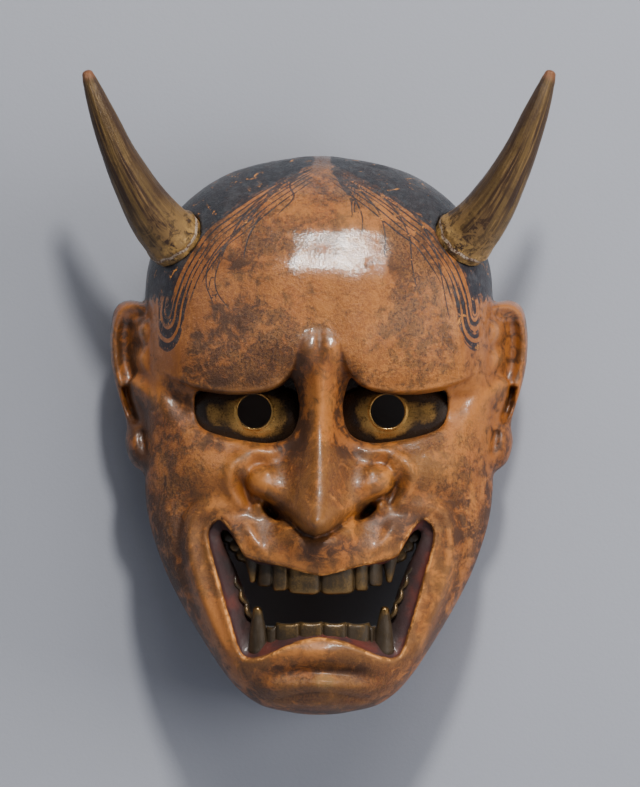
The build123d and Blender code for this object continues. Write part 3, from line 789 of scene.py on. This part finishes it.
def hair_maps(side, z):
    """How far into the solid black hair, and how far from the line that the loose strands follow."""
    distance, _, turn = measure(spline(HAIR_EDGE), side, z, 40.0)
    solid = np.where(distance < 39.9, turn, np.where(z > 60, 30.0, -30.0))
    solid = np.minimum(solid, (z - SOLID_END) * 0.5)
    below = np.hypot(side - 57.6, LOOP_SQUASH * (LOOP_END - z))
    strand = np.where(z < LOOP_END, below, distance)
    limit = smooth(STRAND_LIMIT, z)
    return solid, strand / smooth(STRAND_SPREAD, z), ramp(limit + 0.5, limit - 0.5, strand)


def wisp_maps(x, z):
    """For the single loose hairs: place across the nearest one, 1 at its edge, and how far off it is."""
    near = np.full(x.shape, 9.0)
    across = np.full(x.shape, 9.0)
    for points in WISPS:
        far, place, turn = measure(spline(points), x, z, 6.0)
        better = far < near
        near = np.where(better, far, near)
        across = np.where(better, turn / (0.34 - 0.18 * place), across)
    return np.clip(across, -9, 9), near


def patina_shade_and_shine_map(x, z):
    """Where the patina and painted shade are dark, below 0, and where rubbed paint and painted highlights
    are bright, above 0.
    """
    return sum(swell(np.abs(x), z, *row) for row in PATINA_SHADE_AND_SHINE) + sum(swell(x, z, *row) for row in STAINS_SHADE_AND_SHINE)


def implicit(depth, share, edge, centre, power):
    """Below 1 inside a dome of this edge depth and centre depth."""
    rise = np.clip((depth - edge) / np.maximum(centre - edge, 1.0), 0, None)
    return np.abs(share) ** power + rise * rise


def soft_max(a, b, k):
    h = np.clip(k - np.abs(a - b), 0, None) / k
    return np.maximum(a, b) + h * h * k * 0.25


def soft_min(a, b, k):
    return -soft_max(-a, -b, k)


def cylinder(x, y, z, at, axis, radius, low, high):
    """Distance to a cylinder along an axis, from low to high along it."""
    dx, dy, dz = x - at[0], y - at[1], z - at[2]
    along = dx * axis[0] + dy * axis[1] + dz * axis[2]
    out = np.sqrt(np.clip(dx * dx + dy * dy + dz * dz - along * along, 0, None)) - radius
    return np.maximum(out, np.maximum(low - along, along - high))


def slopes(field, x, y, z, step):
    """How fast a field changes along each axis, by small steps each way."""
    steps = np.eye(3) * step
    return [(field(x + i, y + j, z + k) - field(x - i, y - j, z - k)) / (2 * step) for i, j, k in steps]


class Shell:
    """The carved and hollowed block as a field that is below 0 inside the wood."""

    def __init__(self, maps):
        self.maps = maps
        self.hollow_share = (HALF_WIDTH - WALL_AT_SIDE) / HALF_WIDTH

    def head(self, x, d, z):
        half = np.maximum(half_width_at(z), END_HALF_WIDTH)
        share = x / half
        fade = np.clip((1 - np.abs(share)) * 6, 0, 1)
        raised = self.maps.read("carved", x, z) * fade
        g = implicit(d - raised, share, smooth(EDGE_DEPTH, z), smooth(CENTRE_DEPTH, z), CROWN_POWER)
        over = np.clip((np.abs(z) + 0.0045 * x * x - HEAD_END) / END_ROUNDING, 0, None)
        return g + over * over

    def hollow(self, x, d, z):
        half = np.maximum(
            half_width_at(z * HALF_HEIGHT / HOLLOW_HALF_HEIGHT) * self.hollow_share, END_HALF_WIDTH,
        )
        share = x / half
        gouged = wobble(x, z, 9, [3.4, 2.1], [0.30, 0.16])
        edge, centre = smooth(HOLLOW_EDGE_DEPTH, z), smooth(HOLLOW_DEPTH, z)
        over = np.clip((np.abs(z) - HOLLOW_END) / END_ROUNDING, 0, None)
        return implicit(d + gouged, share, edge, centre, CROWN_POWER) + over * over

    def sized(self, g, x, d, z):
        """A field's value over the length of its slope."""
        gx, gd, gz = slopes(g, x, d, z, 0.25)
        value = g(x, d, z)
        value = np.where(value > 1, value * np.log(np.maximum(value, 1)), value - 1)
        return value / np.maximum(np.sqrt(gx * gx + gd * gd + gz * gz), 0.012)

    def __call__(self, x, y, z):
        d = -y
        block = self.sized(self.head, x, d, z)
        plain = np.abs(x)
        e = self.maps.read("ear_edge", x, z)
        drop = EAR_ROUNDING * (1 - np.sqrt(np.clip(1 - (1 - np.clip(e / EAR_ROUNDING, 0, 1)) ** 2, 0, 1)))
        front = (d - (self.maps.read("ear", x, z) - drop)) * 0.8
        ear = soft_max(soft_max(front, -e, 1.5), EAR_BACK + 0.35 * np.clip(plain - 66, 0, None) - d, 3.0)
        solid = soft_min(block, ear, 2.5)
        eye, through = self.maps.read("eye", x, z), self.maps.read("through", x, z)
        for cut, rounding in (
            (-self.sized(self.hollow, x, d, z), 1.5), (y, 1.2), (through, 1.2), (eye, 0.9),
        ):
            solid = soft_max(solid, cut, rounding)
        solid = np.maximum(solid, np.minimum(eye + 3.4, PLATE_LEDGE - d))
        seat = cylinder(plain, y, z, SEAT, HORN_AXIS, SEAT_RADIUS, 0, 40)
        mortise = cylinder(plain, y, z, SEAT, HORN_AXIS, MORTISE_RADIUS, -MORTISE_DEPTH, 5)
        solid = np.maximum(solid, -np.minimum(seat, mortise))
        hole_y, hole_z, hole_radius = CORD_HOLE
        return np.maximum(solid, hole_radius - np.hypot(y - hole_y, z - hole_z))


BLOCK = 6
BLOCKS_AT_ONCE = 2500


def grid_field(solid, cell, low, high):
    """The field over a box. Blocks that lie well away from the surface are left at a plain value."""
    block = BLOCK
    counts = [int(math.ceil((b - a) / cell / block)) for a, b in zip(low, high)]
    middle = [a + (np.arange(n) + 0.5) * block * cell for a, n in zip(low, counts)]
    x, y, z = np.meshgrid(*middle, indexing="ij")
    coarse = solid(x, y, z)
    near = np.abs(coarse) < block * cell * 1.7
    out = np.repeat(
        np.repeat(np.repeat(np.sign(coarse) * 9.0, block, 0), block, 1), block, 2,
    ).astype(np.float32)
    offsets = np.arange(block) * cell
    ox, oy, oz = np.meshgrid(offsets, offsets, offsets, indexing="ij")
    cells = np.argwhere(near)
    for group in np.array_split(cells, max(1, len(cells) // BLOCKS_AT_ONCE)):
        at = np.array(low) + group * block * cell
        values = solid(*(at[:, i, None, None, None] + step for i, step in enumerate((ox, oy, oz))))
        for (i, j, k), value in zip(group * block, values):
            out[i : i + block, j : j + block, k : k + block] = value
    return out


def polygonise(solid, cell, low, high, passes=3):
    """A closed mesh of the field's surface, each vertex moved onto it."""
    import openvdb

    values = grid_field(solid, cell, low, high)
    band = 3 * cell
    grid = openvdb.FloatGrid(band)
    grid.copyFromArray(np.clip(values, -band, band))
    grid.transform = openvdb.createLinearTransform(voxelSize=cell)
    points, quads = grid.convertToQuads(0.0)
    points = points.astype(float) + np.array(low)
    for _ in range(passes):
        x, y, z = points.T
        f = solid(x, y, z)
        slope = np.stack(slopes(solid, x, y, z, 0.12), 1)
        size = np.maximum((slope * slope).sum(1), 0.09)
        move = -0.8 * (f / size)[:, None] * slope
        length = np.linalg.norm(move, axis=1, keepdims=True)
        points += move * np.minimum(1, 0.5 * cell / np.maximum(length, 1e-9))
    return points, quads[:, ::-1]


# ---------------------------------------------------------------- pieces

MM = 0.001


CELLS = {"face": (1.16, 2.0), "eye": (0.45, 0.8), "tooth": (0.42, 0.8)}


def cell_of(part):
    fine, coarse = CELLS[part]
    return fine


def both_sides(points, faces):
    """A shape of the left side, and its mirror image over the face's middle line."""
    return (1, "left", points, faces), (
        -1, "right", points * (-1, 1, 1) + (2 * MID, 0, 0), faces[:, ::-1],
    )


def mesh_piece(name, points, faces, material, nodes, body, values):
    """A mesh from points in millimetres, which stands for these CAD nodes and rides this body."""
    mesh = bpy.data.meshes.new(name)
    points = np.asarray(points, float) * MM
    faces = np.asarray(faces, np.int32)
    count, corners = faces.shape
    mesh.vertices.add(len(points))
    mesh.vertices.foreach_set("co", points.ravel())
    mesh.loops.add(count * corners)
    mesh.loops.foreach_set("vertex_index", faces.ravel())
    mesh.polygons.add(count)
    mesh.polygons.foreach_set("loop_start", np.arange(count, dtype=np.int32) * corners)
    mesh.update(calc_edges=True)
    mesh.validate()
    mesh.polygons.foreach_set("use_smooth", np.ones(len(mesh.polygons), bool))
    for key, value in values.items():
        mesh.attributes.new(key, "FLOAT", "POINT").data.foreach_set(
            "value", np.asarray(value, np.float32),
        )
    piece = bpy.data.objects.new(name, mesh)
    bpy.context.scene.collection.objects.link(piece)
    mesh.materials.append(material)
    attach(piece, body)
    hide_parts(*nodes)
    return piece


def forward_slope(points, quads):
    """The y part of the outward direction at each point of a mesh."""
    one, two = points[quads[:, 2]] - points[quads[:, 0]], points[quads[:, 3]] - points[quads[:, 1]]
    outward = np.cross(one, two)
    total = np.zeros(points.shape)
    for corner in quads.T:
        np.add.at(total, corner, outward)
    return total[:, 1] / np.maximum(np.linalg.norm(total, axis=1), 1e-9)


HOLLOW_NEARS_ITS_END = 94.0
PAST_HOLLOW = (25.5, 22.0, 99.0)
RIM_EDGE = 1.0
FACE_VALUES = (
    "mouth", "fine", "broad", "hair", "strand", "hair_zone", "rough", "jaw", "wisp", "wisp_near", "patina_shade_and_shine",
    "ear_part",
)


def face_piece(maps, material):
    solid = Shell(maps)
    points, quads = polygonise(solid, cell_of("face"), (-84, -92, -110), (84, 3, 110))
    x, y, z = points.T
    past_hollow = (np.abs(points) > PAST_HOLLOW).any(1)
    near_end = np.abs(z) > HOLLOW_NEARS_ITS_END
    outside = np.where(near_end, past_hollow, solid.sized(solid.hollow, x, -y, z) > 1.2)
    values = {name: maps.read(name, x, z) for name in FACE_VALUES}
    values["front"] = (outside & (y < -RIM_EDGE)).astype(float)
    values["flank"] = ramp(0.42, 0.15, -forward_slope(points, quads))
    return mesh_piece(
        "carved_face", points, quads, material, ["face_shell"], "mask", values,
    )


PUPIL = (25.1, 8.6)
PUPIL_RADIUS = 6.3
DOME = ((27.6, 7.2), (23.5, 13.0), 5.8)


def eye_pieces(paint, tack_paint):
    """A domed plate with a round sight hole behind each eye, and its four tacks."""
    outline = spline(EYE_OPENING, 6, True)
    (dome_x, dome_z), (half_x, half_z), rise = DOME

    def plate(x, y, z):
        side = x - MID
        d = -y
        e = inside(outline, side, z, 8.0)
        across, up = (side - dome_x) / half_x, (z - dome_z) / half_z
        bulge = rise * np.sqrt(np.clip(1 - np.clip(across * across + up * up, 0, 1), 0, 1) * 0.96 + 0.0004)
        hole = np.hypot(side - PUPIL[0], z - PUPIL[1])
        lip = 0.35 * np.exp(-(((hole - PUPIL_RADIUS - 0.5) / 0.5) ** 2))
        front = PLATE_LEDGE - 0.05 + bulge + lip
        sheet = np.abs(d - front + 0.45) - 0.45
        return soft_max(soft_max(sheet * 0.75, -(e + 3.1), 0.3), PUPIL_RADIUS - hole, 0.4)

    points, quads = polygonise(plate, cell_of("eye"), (3, -54, -9), (55, -43, 27))
    x, z = points[:, 0] - MID, points[:, 2]
    away = np.hypot(x - PUPIL[0], z - PUPIL[1]) - PUPIL_RADIUS
    off = np.hypot((x - PUPIL[0]) / 19.0, (z - 7.0) / 10.5)
    rim = np.clip(inside(outline, x, z, 9.0), 0, 9)
    # Bright by the sight hole and in two rubbed spots. Dark along the edge of the opening and at the inner
    # corner: dark paint there, with painted shade of the overhanging lids.
    wear_and_shade = 0.62 - 0.30 * off + 0.80 * np.exp(-away / 2.8) - 0.75 * np.exp(-rim / 2.2)
    wear_and_shade += swell(x, z, (24, 0.5), (9, 4.5), 0.3) + swell(x, z, (41, 8), (4, 5), 0.3)
    wear_and_shade -= 0.6 * ramp(13.5, 9.0, x)
    for sign, word, moved, faces in both_sides(points, quads):
        mesh_piece(
            f"{word}_eye", moved, faces, paint, [f"{word}_eye_plate"], "mask", {"wear_and_shade": wear_and_shade},
        )
        heads, sides = joined([tack(MID + sign * across, up, i) for i, (across, up) in enumerate(TACKS)])
        rubbed = {"wear_and_shade": np.full(len(heads), 0.5)}
        mesh_piece(
            f"{word}_tacks", heads, sides, tack_paint, [f"{word}_eye_tacks"], "mask",
            rubbed,
        )


TACKS = [(6.7, 18.0), (48.9, 16.6), (46.0, -0.2), (8.2, -1.6)]


def joined(shapes):
    points, faces, start = [], [], 0
    for p, f in shapes:
        points.append(p)
        faces.append(f + start)
        start += len(p)
    return np.vstack(points), np.vstack(faces)


def tube_faces(rings, segments):
    """Quads between rings of points, with the two end rings closed by thin quads across them."""
    i = np.arange(rings - 1)[:, None] * segments
    j = np.arange(segments)[None, :]
    k = (j + 1) % segments
    sides = np.stack([i + j, i + k, i + segments + k, i + segments + j], -1).reshape(-1, 4)
    caps = []
    for start, turn in ((0, -1), ((rings - 1) * segments, 1)):
        for n in range(segments // 2 - 1):
            quad = [start + n, start + n + 1, start + segments - 2 - n, start + segments - 1 - n]
            caps.append(quad[::turn])
    return np.vstack([sides, np.array(caps)])


TACK = [
    (0.02, 0.5), (0.7, 0.48), (1.1, 0.3), (1.2, 0.08), (1.15, 0.0), (0.6, -0.02), (0.58, -4.0),
    (0.3, -4.8),
    (0.02, -5.0),
]
TACK_SEGMENTS = 20
TACK_AT = 0.9 - PLATE_LEDGE


def tack(x, z, seed):
    """A tack behind the plate, head to the back, a little out of round."""
    angle = np.arange(TACK_SEGMENTS) * 2 * math.pi / TACK_SEGMENTS
    rng = np.random.default_rng(seed)
    lump = 1 + 0.04 * np.sin(3 * angle + rng.uniform(0, 6)) + 0.04 * np.sin(2 * angle + rng.uniform(0, 6))
    rings = [
        (
            x + radius * lump * np.cos(angle), np.full(TACK_SEGMENTS, TACK_AT + along),
            z - radius * lump * np.sin(angle),
        )
        for radius, along in TACK
    ]
    return np.vstack([np.stack(ring, 1) for ring in rings]), tube_faces(len(TACK), TACK_SEGMENTS)


UPPER_ARCH = (31.0, 68.5, 40.0)
LOWER_ARCH = (29.5, 65.0, 44.0)
ARCH_POWER = 2.4
UPPER_FRONT = (
    [-24.2, -18.4, -12.4, -0.2, 12.6, 17.8, 23.2], [-57.2, -58.8, -60.0, -60.0, -58.8, -57.0], -43.2,
)
LOWER_FRONT = (
    [-20.6, -17.0, -8.2, 0.6, 9.6, 18.4, 20.6], [-71.6, -70.4, -69.8, -69.9, -70.4, -71.6], -79.8,
)
UPPER_BACK = [(28.4, -47.2), (31.0, -44.0), (33.8, -40.2), (36.4, -36.8)]
LOWER_BACK = [(26.3, -69.5), (28.6, -64.0), (31.2, -57.5), (33.4, -51.8), (35.6, -46.6), (37.2, -42.4)]
UPPER_FANG = ((25.7, -60.0, -42.5), 3.5, (25.6, -60.4, -54.6), 1.25)
LOWER_FANG = ((23.4, -58.5, -81.0), 4.1, (23.9, -59.3, -66.3), 1.75)


def arch_depth(side, arch):
    half_width, front, ends = arch
    return ends + (front - ends) * np.clip(
        1 - np.abs(side / half_width) ** ARCH_POWER, 0, 1,
    ) ** (1 / ARCH_POWER)


def front_row(arch, row, up):
    """The field of a row of front teeth. up is 1 for teeth that hang and -1 for teeth that stand."""
    bounds, edges, root = row
    bounds, edges = np.array(bounds), np.array(edges)

    def field(x, y, z):
        side, d = x - MID, -y
        i = np.clip(np.searchsorted(bounds, side) - 1, 0, len(edges) - 1)
        width = bounds[i + 1] - bounds[i]
        u = np.clip(2 * (side - bounds[i]) / width - 1, -1.2, 1.2)
        if up > 0:
            edge = edges[i] + 1.3 * np.abs(u) ** 6 + 0.25 * u * np.sin(i * 2.4)
            body = 1.5 * (1 - np.abs(u) ** 2.6) - 0.9 * np.abs(u) ** 14
        else:
            edge = edges[i] - 0.9 * (1 - np.abs(u) ** 2.6) + 0.2 * np.sin(i * 1.7) - 0.6 * np.abs(u) ** 12
            body = 0.45 * (1 - u**2) - 0.9 * np.abs(u) ** 10 + 0.10 * np.cos(1.5 * math.pi * u + i)
        tall = np.abs(z - edge)
        front = arch_depth(side, arch) + body - 0.7 * np.exp(-tall / 1.1)
        band = np.maximum(d - front, (front - 2.5 - body) - d)
        ends = np.maximum(bounds[0] - side, side - bounds[-1])
        height = np.maximum((edge - z) * up, (z - root) * up)
        return soft_max(soft_max(band * 0.85, height * 0.8, 0.9), ends, 0.9)

    return field


def fang_field(fang):
    root, root_radius, tip, tip_radius = fang
    a, b = np.array(root, float), np.array(tip, float)
    length = np.linalg.norm(b - a)
    axis = (b - a) / length

    def field(x, y, z):
        dx, dy, dz = x - MID - a[0], y - a[1], z - a[2]
        t = np.clip((dx * axis[0] + dy * axis[1] + dz * axis[2]) / length, 0, 1)
        ex, ey, ez = dx - axis[0] * t * length, dy - axis[1] * t * length, dz - axis[2] * t * length
        angle = np.arctan2(ey, ex)
        radius = root_radius + (tip_radius - root_radius) * t**0.85 + 0.35 * np.sin(math.pi * t) ** 2
        radius = radius + 0.14 * np.cos(5 * angle + 1.0) * (1 - t)
        return (np.sqrt(ex * ex + ey * ey + ez * ez) - radius) * 0.95

    return field


SCALLOP = 0.9


def back_row(path, low, high, teeth, keep_off, thick):
    """The field of a scalloped row that stands forward from the gum along a path."""
    line = spline(path)

    def field(x, y, z):
        side, d = x - MID, -y
        _, along, turn = measure(line, side, z, 6.0)
        u = (along * teeth) % 1.0 * 2 - 1
        front = high[0] + (high[1] - high[0]) * along + 0.9 * (1 - np.abs(u) ** 2.2) - 0.6
        half = thick * (1 - 0.12 * np.abs(u) ** 4 - 0.30 * ramp(front - 3.0, front, d))
        ribbon = np.abs(turn + SCALLOP * (0.5 - np.abs(u) ** 1.6)) - half
        out = soft_max(ribbon, np.maximum(d - front, low - d) * 0.8, 0.7)
        return soft_max(out, 0.05 - keep_off(x, y, z), 0.2)

    return field


def tooth_wear_and_shade(name, x, y, z):
    """How far the gilding is rubbed: most at the tips of the fangs and along the edges of the teeth. Away
    from the biting edge of the front teeth it falls as painted shade of the lips, and the back rows grow
    darker from their front edge into the mouth.
    """
    if "fang" in name:
        tip = z.min() if "upper" in name else z.max()
        return 0.22 + 1.1 * np.exp(-np.abs(z - tip) / 2.4)
    if "front" in name:
        bounds, edges, _ = UPPER_FRONT if "upper" in name else LOWER_FRONT
        middles = [(a + b) / 2 for a, b in zip(bounds, bounds[1:])]
        edge = np.abs(z - np.interp(x - MID, middles, edges))
        return 0.22 + 0.55 * np.exp(-edge) + 0.22 * (y.mean() - y > 0.3)
    return 0.02 + 0.50 * ramp(-4.0, -0.6, y.min() - y)


def tooth_pieces(paint):
    upper_fang, lower_fang = fang_field(UPPER_FANG), fang_field(LOWER_FANG)
    upper_back = back_row(UPPER_BACK, 45.0, (57.0, 53.0), 3, upper_fang, 2.3)
    lower_back = back_row(LOWER_BACK, 45.0, (57.5, 53.5), 5, lower_fang, 1.15)
    for name, field, low, high in (
        ("upper_front_teeth", front_row(UPPER_ARCH, UPPER_FRONT, 1), (-25, -73, -63), (27, -56, -41)),
        ("lower_front_teeth", front_row(LOWER_ARCH, LOWER_FRONT, -1), (-25, -70, -82), (27, -54, -67)),
        ("upper_fang", upper_fang, (20, -67, -58), (33, -54, -37)),
        ("lower_fang", lower_fang, (17, -66, -87), (32, -51, -62)),
        ("upper_back_teeth", upper_back, (23, -61, -53), (42, -42, -32)),
        ("lower_back_teeth", lower_back, (21, -62, -75), (42, -42, -37)),
    ):
        points, quads = polygonise(field, cell_of("tooth"), low, high)
        sides = [(f"{word}_{name}", p, q) for _, word, p, q in both_sides(points, quads)]
        for whose, p, q in [(name, points, quads)] if "front" in name else sides:
            mesh_piece(
                whose, p, q, paint, [whose], "mask", {"wear_and_shade": tooth_wear_and_shade(name, *points.T)},
            )


HORN_SECTIONS = [
    ((52.9, -42.7, 72.1), 11.3), ((60.4, -48.4, 79.8), 10.2), ((67.3, -52.6, 90.0), 8.5),
    ((75.0, -56.0, 104.7), 6.4),
    ((81.3, -57.6, 120.0), 4.8), ((85.6, -57.9, 131.4), 2.95), ((87.0, -57.9, 135.4), 2.1),
]
TENON = (6.0, 10.0)
HORN_FOOT_RADIUS = 10.9
HORN_SEGMENTS = 72


def horn_piece(sign, paint, seed):
    """A horn that sweeps out, forward and up, with its lumpy collar and the tenon on its foot."""
    centres = spline([c for c, _ in HORN_SECTIONS], 26)
    stations = np.linspace(0, 1, len(HORN_SECTIONS))
    radii = np.interp(np.linspace(0, 1, len(centres)), stations, [r for _, r in HORN_SECTIONS])
    walked = np.concatenate([[0], np.cumsum(np.linalg.norm(np.diff(centres, axis=0), axis=1))])
    tangents = np.gradient(centres, axis=0)
    tangents[0] = HORN_AXIS
    for i in range(1, 14):
        share = i / 14
        tangents[i] = (1 - share) * np.array(HORN_AXIS) + share * tangents[i] / np.linalg.norm(tangents[i])
    tangents /= np.linalg.norm(tangents, axis=1, keepdims=True)
    angle = np.arange(HORN_SEGMENTS) * 2 * math.pi / HORN_SEGMENTS
    phases = np.random.default_rng(seed).uniform(0, 2 * math.pi, 8)
    points, values = [], {"along": [], "across": [], "front_side": [], "seam": []}

    def wave(folds, phase, drift=0.0):
        return np.sin(folds * angle + phases[phase] + drift)

    def ring(centre, tangent, radius, u, plain=False):
        one = np.cross(tangent, (0, 1, 0))
        one /= np.linalg.norm(one)
        two = np.cross(tangent, one)
        around = np.full(HORN_SEGMENTS, radius)
        if not plain:
            collar = math.exp(-(((u - 4.4) / 2.4) ** 2))
            lumps = 0.5 * wave(5, 0) + 0.35 * wave(9, 1, 0.5 * u) + wave(3, 2, -u)
            around = around + collar * (0.55 + 0.28 * lumps)
            facets = wave(4, 3, 0.012 * u) + 0.6 * wave(7, 4, -0.02 * u)
            around = around * (1 + 0.010 * facets + 0.006 * wave(2, 5, 0.35 * u))
            around = around + 0.10 * wave(13, 6, 0.09 * u) * math.exp(-u / 25)
        out, forward = np.cos(angle), np.sin(angle)
        points.append(centre + np.outer(out * around, one) + np.outer(forward * around, two))
        crack = 2.9 + 0.5 * wave(3, 7) + 0.25 * np.sin(11 * angle)
        seam = np.exp(-(((u - crack) / 0.75) ** 2))
        here = (np.full(HORN_SEGMENTS, u / walked[-1]), out, forward, seam)
        for column, value in zip(values.values(), here):
            column.append(value)

    foot, axis = centres[0], np.array(HORN_AXIS)
    tenon_radius, tenon_length = TENON
    start = foot + axis * 0.1
    for radius, depth in (
        (0.2, tenon_length), (tenon_radius - 0.5, tenon_length), (tenon_radius, tenon_length - 0.5),
        (tenon_radius, 0.0), (HORN_FOOT_RADIUS, 0.0),
    ):
        ring(start - axis * depth, axis, radius, 0.0, True)
    for centre, tangent, radius, u in zip(centres, tangents, radii, walked):
        ring(centre + axis * 0.1 * max(0, 1 - u / 5), tangent, radius - 0.15 * max(0, 1 - u / 2), u)
    last, tangent, radius = centres[-1], tangents[-1], radii[-1]
    for turn in np.arange(1, 8) / 8 * math.pi / 2:
        tip = last + tangent * radius * 0.75 * math.sin(turn)
        ring(tip, tangent, max(radius * math.cos(turn), 0.05), walked[-1] * 0.999)
    points = np.vstack(points)
    faces = tube_faces(len(points) // HORN_SEGMENTS, HORN_SEGMENTS)
    values = {name: np.concatenate(column) for name, column in values.items()}
    if sign < 0:
        points = points * (-1, 1, 1)
        faces = faces[:, ::-1]
    word = "left" if sign > 0 else "right"
    node, body = f"{word}_horn", f"{word}_horn_body"
    return mesh_piece(f"{word}_carved_horn", points, faces, paint, [node], body, values)


# ---------------------------------------------------------------- stage, light and camera


LIT_POINT = Vector((0.0, -0.04, 0.01))
WARM = (1.0, 0.98, 0.95)
LIGHTS = [
    # name, place, size, watts and colour
    ("key", (0.16, -1.25, 1.25), (0.19, 0.19), 33.0, (1.0, 0.97, 0.92)),
    ("veil", (0.35, -1.20, 1.30), (1.5, 1.3), 17.0, (1.0, 0.97, 0.93)),
    ("fill_left", (-1.0, -1.0, 0.15), (1.0, 1.0), 0.8, (0.95, 0.97, 1.0)),
    ("fill_right", (1.15, -0.80, 0.10), (1.2, 1.2), 3.5, WARM),
    ("side_right", (1.35, -0.55, -0.10), (1.0, 1.2), 24.0, WARM),
    ("behind", (0.3, 1.2, 0.7), (1.0, 0.8), 4.5, WARM),
]
LEAVES_NO_SHINE = ("veil", "side_right")


def area_light(name, at, size, power, colour):
    """An oval lamp turned to the middle of the mask."""
    light = bpy.data.lights.new(name, "AREA")
    light.shape = "ELLIPSE"
    light.size, light.size_y = size
    light.energy = power
    light.color = colour
    lamp = bpy.data.objects.new(name, light)
    lamp.location = at
    bpy.context.scene.collection.objects.link(lamp)
    lamp.rotation_euler = (LIT_POINT - lamp.location).to_track_quat("-Z", "Y").to_euler()
    lamp.visible_camera = False
    return lamp


WALL_GREY = (0.278, 0.292, 0.336)
WALL_AT = 0.006
FLOOR_AT = -0.30
WALL_SIZE = (1.6, 1.5)
FLOOR_DEPTH = 1.4
SKY_COLOUR = (0.80, 0.84, 0.92, 1)
SKY_STRENGTH = 0.11


def backdrop_paint():
    """Plain pale paint, seen only from its front."""
    p = Paint("backdrop_grey")
    colour = p.mix(p.noise(3.0, 3, 0.5).over(0.3, 0.7), WALL_GREY, tuple(1.05 * c for c in WALL_GREY))
    p.finish(colour, 0.85, p.bump(p.noise(900, 2, 0.5), 0.00005))
    back = p.put("ShaderNodeNewGeometry", out="Backfacing")
    clear = p.put("ShaderNodeBsdfTransparent")
    both = p.put("ShaderNodeMixShader", (), back, Signal(p, p.surface.outputs[0]), clear)
    p.feed(p.tree.nodes["Material Output"].inputs["Surface"], both)
    return p.material


def stage_sheet(name, corners, material):
    mesh = bpy.data.meshes.new(name)
    mesh.from_pydata(corners, [], [(0, 1, 2, 3)])
    mesh.materials.append(material)
    sheet = bpy.data.objects.new(name, mesh)
    bpy.context.scene.collection.objects.link(sheet)
    return sheet


def build_stage():
    half_wide, high = WALL_SIZE[0] / 2, WALL_SIZE[1]
    paint = backdrop_paint()
    foot = [(-half_wide, WALL_AT, FLOOR_AT), (half_wide, WALL_AT, FLOOR_AT)]
    top = [(half_wide, WALL_AT, FLOOR_AT + high), (-half_wide, WALL_AT, FLOOR_AT + high)]
    near = [(-half_wide, -FLOOR_DEPTH, FLOOR_AT), (half_wide, -FLOOR_DEPTH, FLOOR_AT)]
    wall = stage_sheet("back_wall", foot + top, paint)
    wall.visible_shadow = False
    stage_sheet("floor", near + foot[::-1], paint)
    for name, *values in LIGHTS:
        lamp = area_light(name, *values)
        lamp.visible_glossy = name not in LEAVES_NO_SHINE
    world = bpy.data.worlds.new("studio")
    world.use_nodes = True
    sky = world.node_tree.nodes["Background"].inputs
    sky["Color"].default_value = SKY_COLOUR
    sky["Strength"].default_value = SKY_STRENGTH
    bpy.context.scene.world = world


CAMERA_AIM = (0.0004, 0.0, 0.0153)
CAMERA_DISTANCE = 2.6
FRAME_HEIGHT = 0.2969
SENSOR = 36.0


def build_camera():
    """Level with the mask and straight in front of it, framing its full height."""
    lens = bpy.data.cameras.new("front")
    lens.sensor_fit = "VERTICAL"
    lens.sensor_height = SENSOR
    lens.lens = SENSOR * (CAMERA_DISTANCE - 0.05) / FRAME_HEIGHT
    lens.clip_start = 0.05
    camera = bpy.data.objects.new("front", lens)
    camera.location = (CAMERA_AIM[0], -CAMERA_DISTANCE, CAMERA_AIM[2])
    camera.rotation_euler = (math.radians(90), 0, 0)
    bpy.context.scene.collection.objects.link(camera)
    bpy.context.scene.camera = camera


# for each gilding: bare gold, dark, rubbed gold, size of its clouds, where it wears from and to, roughness
EYE_GILDING = ((0.60, 0.33, 0.095), (0.018, 0.0095, 0.0050), (0.95, 0.62, 0.22), 140, 0.32, 0.92, 0.30)
TACK_BRASS = ((0.36, 0.20, 0.07), (0.06, 0.03, 0.015), (0.6, 0.38, 0.14), 300, 0.3, 0.7, 0.42)
TOOTH_GILDING = (
    (0.270, 0.165, 0.064), (0.034, 0.0230, 0.0130), (0.66, 0.37, 0.16), 150, 0.32, 0.86, 0.34,
)


def build_mask():
    face_piece(Maps(), face_paint())
    eye_pieces(gilt("eye_gilding", *EYE_GILDING), gilt("tack_brass", *TACK_BRASS))
    tooth_pieces(gilt("tooth_gilding", *TOOTH_GILDING))
    horn = horn_paint()
    horn_piece(1, horn, 11)
    horn_piece(-1, horn, 12)


build_mask()
build_stage()
build_camera()
